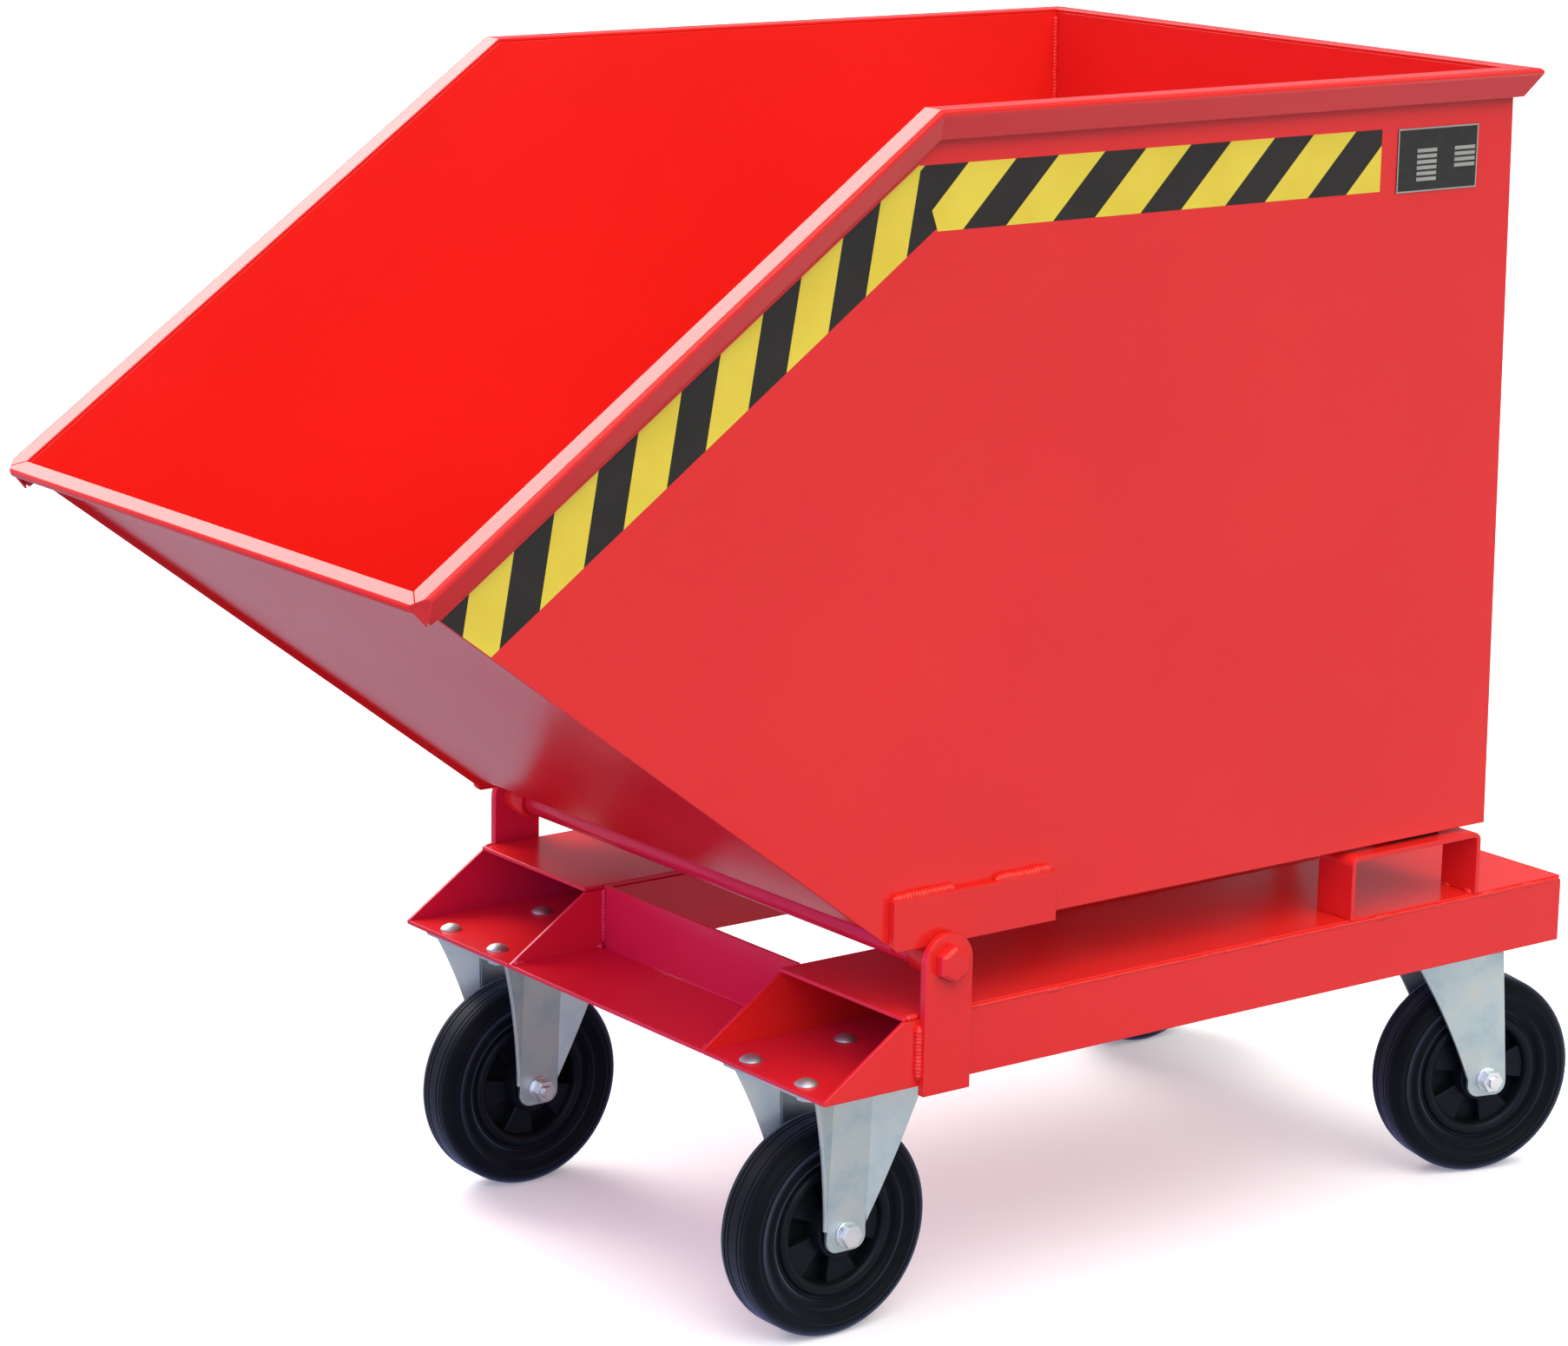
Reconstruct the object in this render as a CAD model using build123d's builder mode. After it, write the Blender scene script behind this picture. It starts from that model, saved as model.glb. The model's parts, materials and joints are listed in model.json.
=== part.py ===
from build123d import *
import os
from math import atan2, cos, hypot, radians, sin, tan

# Tipping hopper: a sheet-steel pouring hopper hinged on a chassis with two fork pockets and four casters.
# Millimetres, +Z up, floor at Z = 0, pouring lip towards -X, left side towards -Y.
# Reaches along X are measured from the tipping axis: "lead" is ahead of it, "reach" is behind it.

os.makedirs("parts", exist_ok=True)

# Hopper shell
hopper_sheet = 3.0
hopper_inside_width = 634.0
lip_lead = 534.0
lip_height = 744.0
knee_lead = 34.0
rim_height = 1094.0
rear_reach = 648.0
rear_lean = 14.0
foot_lead = 53.0
foot_bend = 25.0
heel_bend = 6.0
edge_proud = 5.0

# Folded rim profile, narrower and shallower along the pouring lip
rim_sheet = 3.0
rim_overhang = 25.0
rim_roll = 4.0
rim_depth = 27.0
rim_tuck = 30.0
lip_overhang = 17.0
lip_depth = 8.0
lip_corner_cut = 16.0

# Tipping hinge
pivot_height = 356.0
pivot_shaft_diameter = 25.0
pivot_end_diameter = 20.0
pivot_nut_across_flats = 30.0
pivot_nut_height = 11.0
pivot_nut_cap = 3.0
pivot_nut_chamfer = 3.0
bar_thickness = 8.0
bar_height = 46.0
bar_drop = 6.0
bar_lead = 54.0
bar_reach = 129.0
bar_chamfer = 4.0
knuckle_diameter = 34.0
knuckle_length = 31.0
knuckle_seat = 3.0
hinge_clearance = 28.0
ear_thickness = 8.0
ear_width = 52.0
ear_foot = 8.0

# Fork pockets and cross members
pocket_sheet = 4.0
pocket_width = 180.0
pocket_bend = 2.0
pocket_top_inset = 2.0
frame_lead = 128.0
frame_tail = 17.5
scoop_length = 85.0
web_setback = 25.0
rear_cross_width = 60.0

# Rear supports of the hopper
bridge_sheet = 5.0
bridge_width = 46.0
bridge_length = 168.0
bridge_reach = 488.0
bridge_bend = 4.0
pad_length = 62.0
pad_width = 28.0
pad_thickness = 9.0
pad_inset = 18.0
pad_setback = 39.0
pad_edge = 2.0

# Casters
caster_height = 246.0
caster_sheet = 4.0
plate_length = 135.0
plate_width = 110.0
plate_corner = 8.0
bolt_pitch_length = 105.0
bolt_pitch_width = 80.0
caster_bolt_diameter = 10.0
caster_bolt_head_diameter = 22.0
caster_bolt_head_height = 5.5
caster_nut_across_flats = 17.0
caster_nut_height = 5.0
bolt_end = 2.0
front_axle_lead = 57.0
swivel_reach = 684.0
swivel_trail = 54.0
swivel_yaw_left = -15.0
swivel_yaw_right = 0.0

# Fixed front brackets
bracket_plate_width = 132.0
bracket_strip_width = 43.0
bracket_foot_drop = 16.0
bracket_foot_corner = 12.0
bracket_flare_height = 114.0
bracket_wing_height = 105.0
bracket_flare_bend = 8.0
bracket_top_spread = 82.0
bracket_wing_angle = 32.0
bracket_front_wing = 43.0
bracket_front_hollow = 6.5
bracket_rear_wing = 46.0
bracket_rear_swell = 1.8

# Swivel forks
fork_crown_diameter = 92.0
fork_front_edge = 36.5
fork_front_hollow = 4.7
fork_rear_edge = 11.0
fork_foot_width = 42.0
fork_foot_drop = 17.5
fork_foot_corner = 12.0
fork_bend = 4.0
race_height = 8.0
race_diameter = 84.0
race_bore = 40.0
kingpin_diameter = 14.0
kingpin_foot_diameter = 26.0
kingpin_foot_height = 8.0

# Wheels
wheel_diameter = 200.0
tyre_width = 50.0
tyre_shoulder = 12.0
tyre_seat_diameter = 128.0
tyre_bead_diameter = 152.0
tyre_bead_step = 4.0
rim_width = 42.0
rim_ring = 13.0
disc_thickness = 29.0
web_thickness = 6.0
hub_diameter = 50.0
hub_length = 52.0
window_count = 5
window_inner_diameter = 54.0
window_outer_diameter = 100.0
window_angle = 33.0
window_turn = 103.0
window_corner = 1.5
bearing_diameter = 30.0
sleeve_diameter = 20.0
axle_bolt_diameter = 12.0
axle_head_across_flats = 19.0
axle_head_height = 7.5
axle_nut_height = 10.0
axle_washer_diameter = 24.0
axle_washer_thickness = 2.5
axle_thread_end = 4.0
fork_inside_width = 60.0

# Latch
latch_reach = 706.0
latch_height = 339.0
latch_open_angle = 20.0
lever_thickness = 10.0
lever_width = 26.0
lever_length = 200.0
lever_boss_diameter = 30.0
hook_nose = 30.0
hook_depth = 15.0
latch_pin_diameter = 12.0
latch_pin_head_diameter = 18.0
latch_pin_head_height = 4.0
latch_lug_thickness = 6.0
latch_lug_width = 40.0
latch_base_thickness = 5.0
latch_clearance = 8.0
keeper_diameter = 14.0
keeper_lug_thickness = 8.0
keeper_gap = 24.0
keeper_edge = 9.0
keeper_rise = 19.0
grip_length = 95.0
grip_width = 36.0
grip_thickness = 22.0
grip_edge = 7.0

# Rating plate
rating_plate_length = 101.0
rating_plate_height = 58.0
rating_plate_thickness = 1.0
rating_plate_reach = 511.0
rating_plate_drop = 49.0

# Fits
running_clearance = 0.05
bolt_hole_clearance = 0.5
caster_hole_clearance = 0.5
end_gap = 0.3
hook_gap = 0.5
bar_clearance = 3.0

# Places worked out from the sizes above
SIDES = {"left": -1, "right": 1}
wheel_radius = wheel_diameter / 2
slope_angle = atan2(rim_height - lip_height, lip_lead - knee_lead)
rim_front = lip_lead + (lip_overhang - rim_roll) * cos(slope_angle) - rim_roll * sin(slope_angle) + rim_roll
tail_reach = swivel_reach + swivel_trail + wheel_radius
pivot_x = (rim_front - tail_reach) / 2

hopper_inside = hopper_inside_width / 2
hopper_outside = hopper_inside + hopper_sheet
frame_half = hopper_outside + bar_thickness + bar_clearance
pocket_inside_edge = frame_half - pocket_width
pocket_middle = frame_half - pocket_width / 2
pocket_bottom = caster_height
pocket_top = pivot_height - knuckle_diameter / 2 - hinge_clearance
cheek_top = pocket_top - pocket_sheet
bar_bottom = pivot_height + knuckle_diameter / 2 - knuckle_seat
panel_bottom = bar_bottom + bar_drop
hopper_underside = panel_bottom + edge_proud
floor_height = hopper_underside + hopper_sheet

lip = Vector(pivot_x - lip_lead, lip_height)
knee = Vector(pivot_x - knee_lead, rim_height)
rear_rim = Vector(pivot_x + rear_reach, rim_height)
heel = Vector(pivot_x + rear_reach + rear_lean, floor_height)
foot = Vector(pivot_x - foot_lead, floor_height)

slope_way = Vector(cos(slope_angle), 0, sin(slope_angle))
slope_up = Vector(-sin(slope_angle), 0, cos(slope_angle))
rim_plane = Plane.XY.offset(rim_height)
mouth_plane = Plane(origin=(lip.X, 0, lip.Y), x_dir=slope_way, z_dir=slope_up)

front_axle_x = pivot_x - front_axle_lead
swivel_x = pivot_x + swivel_reach
frame_front_x = pivot_x - frame_lead
frame_reach = max(swivel_reach + plate_length / 2 + frame_tail, latch_reach + rear_cross_width / 2)
frame_rear_x = pivot_x + frame_reach
scoop_top_x = frame_front_x + scoop_length
latch_x = pivot_x + latch_reach


def export(piece, node):
    """Label a finished piece and write it as its own file."""
    piece.part.label = node
    export_step(piece.part, f"parts/{node}.step")


def export_at(piece, place, node):
    """Write a copy of a piece that was drawn about the origin, moved to its place."""
    with BuildPart() as placed:
        with Locations(place):
            add(piece.part)
    export(placed, node)


def wall_plane(y):
    """Upright plane along the cart at a distance y from its middle, drawn in X and Z."""
    return Plane.XZ.offset(-y)


# Side panels: the mouth's outline with edges standing proud of the folded sheet, cut off under the rim
for side, sign in SIDES.items():
    with BuildPart() as hopper_side:
        with BuildSketch(wall_plane(sign * hopper_inside)):
            Polygon(lip, knee, rear_rim, heel, foot, align=None)
            offset(amount=hopper_sheet + edge_proud, kind=Kind.INTERSECTION)
        extrude(amount=-sign * hopper_sheet)
        split(bisect_by=rim_plane.offset(-rim_sheet), keep=Keep.BOTTOM)
        split(bisect_by=mouth_plane.offset(-rim_sheet), keep=Keep.BOTTOM)
    export(hopper_side, f"hopper_side_{side}")

# Wrapper: front plate, floor and rear wall folded from one sheet between the side panels
front_way = (lip - foot).normalized()
rear_way = (rear_rim - heel).normalized()
with BuildPart() as hopper_wrapper:
    with BuildSketch(Plane.XZ):
        with BuildLine():
            FilletPolyline(
                lip + front_way * rim_overhang,
                foot,
                heel,
                rear_rim + rear_way * rim_overhang,
                radius=(foot_bend, heel_bend),
            )
            offset(amount=hopper_sheet, side=Side.RIGHT)
        make_face()
    extrude(amount=hopper_inside, both=True)
    split(bisect_by=rim_plane.offset(-rim_sheet), keep=Keep.BOTTOM)
    split(bisect_by=mouth_plane.offset(-rim_sheet), keep=Keep.BOTTOM)
export(hopper_wrapper, "hopper_wrapper")

# Rim sections: flange out from the wall, folded over, skirt tucked back under. X is outwards, Y is up.
tuck = radians(rim_tuck)


def rim_profile(overhang, depth):
    skirt_drop = depth - rim_roll * (1 + sin(tuck))
    with BuildSketch() as section:
        with BuildLine():
            flange = Line((0, 0), (overhang - rim_roll, 0))
            roll = JernArc(flange @ 1, flange % 1, rim_roll, -(90 + rim_tuck))
            Line(roll @ 1, roll @ 1 + (roll % 1) * (skirt_drop / cos(tuck)))
            offset(amount=rim_sheet, side=Side.RIGHT)
        make_face()
    return section.sketch


rim_section = rim_profile(rim_overhang, rim_depth)
lip_section = rim_profile(lip_overhang, lip_depth)

slope_length = (Vector(knee.X, 0, knee.Y) - Vector(lip.X, 0, lip.Y)).length
top_length = rear_rim.X - knee.X
knee_mitre = Plane(origin=(knee.X, 0, knee.Y), z_dir=Vector(1, 0, 0) + slope_way)
rear_mitres = {}
lip_mitres = {}
lip_corner_cuts = {}
for side, sign in SIDES.items():
    outwards = Vector(0, sign, 0)
    rear_mitres[side] = Plane(
        origin=(rear_rim.X, sign * hopper_inside, rim_height), z_dir=Vector(1, 0, 0) - outwards
    )
    lip_corner = Vector(lip.X, sign * hopper_inside, lip.Y)
    lip_mitres[side] = Plane(origin=lip_corner, z_dir=slope_way * rim_overhang + outwards * lip_overhang)
    lip_corner_cuts[side] = Plane(
        origin=lip_corner + outwards * rim_overhang - slope_way * (lip_overhang - lip_corner_cut),
        z_dir=outwards - slope_way,
    )

for side, sign in SIDES.items():
    wall = sign * hopper_inside
    outwards = Vector(0, sign, 0)
    top_plane = Plane(
        origin=((knee.X + rear_rim.X) / 2, wall, rim_height), x_dir=outwards, z_dir=(sign, 0, 0)
    )
    slope_plane = Plane(
        origin=((knee.X + lip.X) / 2, wall, (knee.Y + lip.Y) / 2), x_dir=outwards, z_dir=slope_way * sign
    )
    with BuildPart() as top_run:
        with BuildSketch(top_plane):
            add(rim_section)
        extrude(amount=top_length, both=True)
        split(bisect_by=knee_mitre, keep=Keep.TOP)
        split(bisect_by=rear_mitres[side], keep=Keep.BOTTOM)
    with BuildPart() as slope_run:
        with BuildSketch(slope_plane):
            add(rim_section)
        extrude(amount=slope_length, both=True)
        split(bisect_by=knee_mitre, keep=Keep.BOTTOM)
        split(bisect_by=lip_mitres[side], keep=Keep.TOP)
        split(bisect_by=lip_corner_cuts[side], keep=Keep.BOTTOM)
    with BuildPart() as rim_side:
        add(top_run.part)
        add(slope_run.part)
    export(rim_side, f"rim_{side}")

with BuildPart() as rim_rear:
    with BuildSketch(Plane(origin=(rear_rim.X, 0, rim_height), x_dir=(1, 0, 0), z_dir=(0, -1, 0))):
        add(rim_section)
    extrude(amount=hopper_inside_width, both=True)
    for side in SIDES:
        split(bisect_by=rear_mitres[side], keep=Keep.TOP)
export(rim_rear, "rim_rear")

with BuildPart() as rim_lip:
    with BuildSketch(Plane(origin=(lip.X, 0, lip.Y), x_dir=slope_way * -1, z_dir=(0, 1, 0))):
        add(lip_section)
    extrude(amount=hopper_inside_width, both=True)
    for side in SIDES:
        split(bisect_by=lip_mitres[side], keep=Keep.BOTTOM)
        split(bisect_by=lip_corner_cuts[side], keep=Keep.BOTTOM)
export(rim_lip, "rim_lip")

# Pivot bars on the side panels over the tipping axis, hollowed to sit on the knuckles
for side, sign in SIDES.items():
    with BuildPart() as pivot_bar:
        with BuildSketch(wall_plane(sign * hopper_outside)):
            with Locations((pivot_x - bar_lead, bar_bottom)):
                bar_face = Rectangle(bar_lead + bar_reach, bar_height, align=Align.MIN)
            chamfer(bar_face.vertices().group_by(Axis.Y)[0].sort_by(Axis.X)[0], length=bar_chamfer)
            with Locations((pivot_x, pivot_height)):
                Circle(knuckle_diameter / 2, mode=Mode.SUBTRACT)
        extrude(amount=-sign * bar_thickness)
    export(pivot_bar, f"pivot_bar_{side}")

# Knuckles: short tubes under the bars that turn on the pivot shaft
knuckle_end = frame_half - end_gap
knuckle_bore = pivot_shaft_diameter + 2 * running_clearance
with BuildPart() as pivot_knuckles:
    for sign in SIDES.values():
        with BuildSketch(wall_plane(sign * knuckle_end)):
            with Locations((pivot_x, pivot_height)):
                Circle(knuckle_diameter / 2)
                Circle(knuckle_bore / 2, mode=Mode.SUBTRACT)
        extrude(amount=sign * knuckle_length)
export(pivot_knuckles, "pivot_knuckles")

# Ears: upright plates on the outside of the pockets, round over the tipping axis
ear_bottom = pocket_bottom - ear_foot
for side, sign in SIDES.items():
    with BuildPart() as ear:
        with BuildSketch(wall_plane(sign * frame_half)):
            with Locations((pivot_x, ear_bottom)):
                Rectangle(ear_width, pivot_height - ear_bottom, align=(Align.CENTER, Align.MIN))
            with Locations((pivot_x, pivot_height)):
                Circle(ear_width / 2)
                Circle(pivot_end_diameter / 2 + bolt_hole_clearance, mode=Mode.SUBTRACT)
        extrude(amount=-sign * ear_thickness)
    export(ear, f"ear_{side}")

# Pivot shaft from ear to ear, its ends turned down to pass through them, and a cap nut on each end
ear_face = frame_half + ear_thickness
shaft_end = ear_face + pivot_nut_height - pivot_nut_cap
with BuildPart() as pivot_shaft:
    for diameter, half_length in ((pivot_shaft_diameter, frame_half), (pivot_end_diameter, shaft_end)):
        with BuildSketch(Plane.XZ):
            with Locations((pivot_x, pivot_height)):
                Circle(diameter / 2)
        extrude(amount=half_length, both=True)
export(pivot_shaft, "pivot_shaft")

with BuildPart() as pivot_nuts:
    for sign in SIDES.values():
        with BuildSketch(wall_plane(sign * ear_face)):
            with Locations((pivot_x, pivot_height)):
                RegularPolygon(pivot_nut_across_flats / 2, 6, major_radius=False, rotation=30)
        extrude(amount=-sign * pivot_nut_height)
    chamfer(faces().sort_by(Axis.Y)[0].edges(), length=pivot_nut_chamfer)
    chamfer(faces().sort_by(Axis.Y)[-1].edges(), length=pivot_nut_chamfer)
    for sign in SIDES.values():
        with BuildSketch(wall_plane(sign * ear_face)):
            with Locations((pivot_x, pivot_height)):
                Circle(pivot_end_diameter / 2)
        extrude(amount=-sign * (shaft_end - ear_face), mode=Mode.SUBTRACT)
export(pivot_nuts, "pivot_nuts")

# Fork pockets: floors between upright cheeks that slope down to open scoops at the front, and top plates
caster_hole = caster_bolt_diameter / 2 + caster_hole_clearance
floor_width = pocket_width - 2 * pocket_sheet
with BuildPart() as pocket_floors:
    for sign in SIDES.values():
        with BuildSketch(Plane.XY.offset(pocket_bottom)):
            with Locations(((frame_front_x + frame_rear_x) / 2, sign * pocket_middle)):
                Rectangle(frame_rear_x - frame_front_x, floor_width)
            with Locations((front_axle_x, sign * pocket_middle), (swivel_x, sign * pocket_middle)):
                with GridLocations(bolt_pitch_length, bolt_pitch_width, 2, 2):
                    Circle(caster_hole, mode=Mode.SUBTRACT)
        extrude(amount=pocket_sheet)
export(pocket_floors, "pocket_floors")

with BuildPart() as pocket_cheeks:
    for sign in SIDES.values():
        for cheek_y in (pocket_inside_edge, frame_half - pocket_sheet):
            with BuildSketch(wall_plane(sign * cheek_y)):
                Polygon(
                    (frame_front_x, pocket_bottom),
                    (frame_rear_x, pocket_bottom),
                    (frame_rear_x, cheek_top),
                    (scoop_top_x, cheek_top),
                    (frame_front_x, pocket_bottom + pocket_sheet),
                    align=None,
                )
            extrude(amount=-sign * pocket_sheet)
export(pocket_cheeks, "pocket_cheeks")

for side, sign in SIDES.items():
    with BuildPart() as pocket_lid:
        with BuildSketch(Plane.XY.offset(cheek_top)):
            with Locations(((scoop_top_x + frame_rear_x) / 2, sign * pocket_middle)):
                Rectangle(frame_rear_x - scoop_top_x, pocket_width - 2 * pocket_top_inset)
        extrude(amount=pocket_sheet)
    export(pocket_lid, f"pocket_top_{side}")

# Front cross member: an angle, its flange level with the scoops and its web behind the pockets' top edge
web_x = scoop_top_x + web_setback
with BuildPart() as cross_member_front:
    with BuildSketch(Plane.XZ):
        with BuildLine():
            FilletPolyline(
                (frame_front_x, pocket_bottom),
                (web_x, pocket_bottom),
                (web_x, pocket_top),
                radius=pocket_bend + pocket_sheet,
            )
            offset(amount=pocket_sheet, side=Side.LEFT)
        make_face()
    extrude(amount=pocket_inside_edge, both=True)
export(cross_member_front, "cross_member_front")

# Rear cross member: a channel open downwards, carrying the latch
latch_seat = latch_height - lever_boss_diameter / 2 - latch_clearance - latch_base_thickness
with BuildPart() as cross_member_rear:
    with BuildSketch(Plane.XZ):
        with BuildLine():
            FilletPolyline(
                (latch_x - rear_cross_width / 2, pocket_bottom),
                (latch_x - rear_cross_width / 2, latch_seat),
                (latch_x + rear_cross_width / 2, latch_seat),
                (latch_x + rear_cross_width / 2, pocket_bottom),
                radius=pocket_bend + pocket_sheet,
            )
            offset(amount=pocket_sheet, side=Side.RIGHT)
        make_face()
    extrude(amount=pocket_inside_edge, both=True)
export(cross_member_rear, "cross_member_rear")

# Bridges: bent strips on the pockets that carry the back of the hopper
bridge_top = hopper_underside - end_gap - pad_thickness
bridge_front_x = pivot_x + bridge_reach
bridge_rear_x = bridge_front_x + bridge_length
for side, sign in SIDES.items():
    with BuildPart() as bridge:
        with BuildSketch(wall_plane(sign * frame_half)):
            with BuildLine():
                FilletPolyline(
                    (bridge_front_x, pocket_top),
                    (bridge_front_x, bridge_top),
                    (bridge_rear_x, bridge_top),
                    (bridge_rear_x, pocket_top),
                    radius=bridge_bend + bridge_sheet,
                )
                offset(amount=bridge_sheet, side=Side.RIGHT)
            make_face()
        extrude(amount=sign * bridge_width)
    export(bridge, f"bridge_{side}")

# Pads between the bridges and the hopper floor
with BuildPart() as rest_pads:
    for sign in SIDES.values():
        with BuildSketch(Plane.XY.offset(bridge_top)):
            pad_y = sign * (frame_half - pad_inset - pad_width / 2)
            with Locations((bridge_rear_x - pad_setback - pad_length / 2, pad_y)):
                RectangleRounded(pad_length, pad_width, pad_edge)
        extrude(amount=pad_thickness)
export(rest_pads, "rest_pads")

# Keeper: two lugs on the rear wall with a bar across for the latch hook
keeper_x = latch_x - lever_width / 2 - 2 * hook_gap - keeper_diameter / 2
keeper_z = floor_height + keeper_rise
hook_height = keeper_z + keeper_diameter / 2 + hook_gap - latch_height
wall_slope = rear_lean / (rim_height - floor_height)
lug_half = keeper_diameter / 2 + keeper_edge


def rear_wall_x(z):
    """Outer face of the rear wall at a height."""
    return heel.X - (z - floor_height) * wall_slope + hopper_sheet * hypot(1, wall_slope)


with BuildPart() as latch_keeper:
    for sign in SIDES.values():
        with BuildSketch(wall_plane(sign * keeper_gap / 2)):
            Polygon(
                (rear_wall_x(keeper_z - lug_half), keeper_z - lug_half),
                (keeper_x, keeper_z - lug_half),
                (keeper_x, keeper_z + lug_half),
                (rear_wall_x(keeper_z + lug_half), keeper_z + lug_half),
                align=None,
            )
            with Locations((keeper_x, keeper_z)):
                Circle(lug_half)
        extrude(amount=-sign * keeper_lug_thickness)
    with BuildSketch(Plane.XZ):
        with Locations((keeper_x, keeper_z)):
            Circle(keeper_diameter / 2)
    extrude(amount=keeper_gap / 2 + keeper_lug_thickness, both=True)
export(latch_keeper, "latch_keeper")

# Latch bracket: a base with two lugs on the rear cross member
lug_inside = lever_thickness / 2 + end_gap
lug_outside = lug_inside + latch_lug_thickness
with BuildPart() as latch_bracket:
    with BuildSketch(Plane.XY.offset(latch_seat)):
        with Locations((latch_x, 0)):
            Rectangle(latch_lug_width, 2 * lug_outside)
    extrude(amount=latch_base_thickness)
    for sign in SIDES.values():
        with BuildSketch(wall_plane(sign * lug_inside)):
            with Locations((latch_x, latch_seat)):
                Rectangle(latch_lug_width, latch_height - latch_seat, align=(Align.CENTER, Align.MIN))
            with Locations((latch_x, latch_height)):
                Circle(latch_lug_width / 2)
                Circle(latch_pin_diameter / 2 + running_clearance, mode=Mode.SUBTRACT)
        extrude(amount=-sign * latch_lug_thickness)
export(latch_bracket, "latch_bracket")

with BuildPart() as latch_pin:
    with BuildSketch(Plane.XZ):
        with Locations((latch_x, latch_height)):
            Circle(latch_pin_diameter / 2)
    extrude(amount=lug_outside + bolt_end, both=True)
    for sign in SIDES.values():
        with BuildSketch(wall_plane(sign * lug_outside)):
            with Locations((latch_x, latch_height)):
                Circle(latch_pin_head_diameter / 2)
        extrude(amount=-sign * latch_pin_head_height)
export(latch_pin, "latch_pin")

# Latch lever, drawn closed about its pin and swung back to its open place
swing = radians(latch_open_angle)
lever_plane = Plane(
    origin=(latch_x, 0, latch_height), x_dir=(cos(swing), 0, -sin(swing)), z_dir=(0, -1, 0)
)
lever_half = lever_width / 2
grip_bottom = lever_length - grip_length
with BuildPart() as latch_lever:
    with BuildSketch(lever_plane):
        Circle(lever_boss_diameter / 2)
        Rectangle(lever_width, lever_length, align=(Align.CENTER, Align.MIN))
        with Locations((-lever_half, hook_height)):
            Rectangle(hook_nose - lever_half, hook_depth, align=(Align.MAX, Align.MIN))
        Circle(latch_pin_diameter / 2 + running_clearance, mode=Mode.SUBTRACT)
    extrude(amount=lever_thickness / 2, both=True)
export(latch_lever, "latch_lever")

with BuildPart() as latch_grip:
    with BuildSketch(lever_plane):
        with Locations((0, grip_bottom)):
            Rectangle(grip_width, grip_length + grip_edge, align=(Align.CENTER, Align.MIN))
    extrude(amount=grip_thickness / 2, both=True)
    fillet(latch_grip.edges(), radius=grip_edge)
    with BuildSketch(lever_plane):
        Rectangle(lever_width, lever_length, align=(Align.CENTER, Align.MIN))
    extrude(amount=lever_thickness / 2, both=True, mode=Mode.SUBTRACT)
export(latch_grip, "latch_grip")

# Rating plate high on the left side panel, near the rear
with BuildPart() as rating_plate:
    with BuildSketch(wall_plane(-hopper_outside)):
        with Locations((pivot_x + rating_plate_reach, rim_height - rating_plate_drop)):
            Rectangle(rating_plate_length, rating_plate_height, align=(Align.MIN, Align.MAX))
    extrude(amount=rating_plate_thickness)
export(rating_plate, "rating_plate")

# Caster places: fixed ones at the front, swivels trailing at the rear
fixed_places = {side: Location((front_axle_x, sign * pocket_middle, 0)) for side, sign in SIDES.items()}
plate_places = {side: Location((swivel_x, sign * pocket_middle, 0)) for side, sign in SIDES.items()}
swivel_places = {
    "left": Location((swivel_x, -pocket_middle, 0), (0, 0, swivel_yaw_left)),
    "right": Location((swivel_x, pocket_middle, 0), (0, 0, swivel_yaw_right)),
}
plate_bottom = caster_height - caster_sheet

# Caster bolts: low domed heads on the pocket floor, shanks down through the caster plates
nut_bottom = plate_bottom - caster_nut_height
head_radius = caster_bolt_head_diameter / 2
dome_radius = (head_radius**2 + caster_bolt_head_height**2) / (2 * caster_bolt_head_height)
dome_middle = pocket_bottom + pocket_sheet + caster_bolt_head_height - dome_radius
shank_length = pocket_bottom + pocket_sheet - nut_bottom + bolt_end
with BuildPart() as caster_bolt:
    with Locations((0, 0, dome_middle)):
        Sphere(dome_radius)
    split(bisect_by=Plane.XY.offset(pocket_bottom + pocket_sheet), keep=Keep.TOP)
    with BuildSketch(Plane.XY.offset(pocket_bottom + pocket_sheet)):
        Circle(caster_bolt_diameter / 2)
    extrude(amount=-shank_length)

with BuildPart() as caster_nut:
    with BuildSketch(Plane.XY.offset(nut_bottom)):
        RegularPolygon(caster_nut_across_flats / 2, 6, major_radius=False)
        Circle(caster_bolt_diameter / 2, mode=Mode.SUBTRACT)
    extrude(amount=caster_nut_height)

caster_middles = [(x, sign * pocket_middle) for x in (front_axle_x, swivel_x) for sign in SIDES.values()]
for fastener, node in ((caster_bolt, "caster_bolts"), (caster_nut, "caster_nuts")):
    with BuildPart() as fasteners:
        with Locations(*caster_middles):
            with GridLocations(bolt_pitch_length, bolt_pitch_width, 2, 2):
                add(fastener.part)
    export(fasteners, node)

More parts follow.
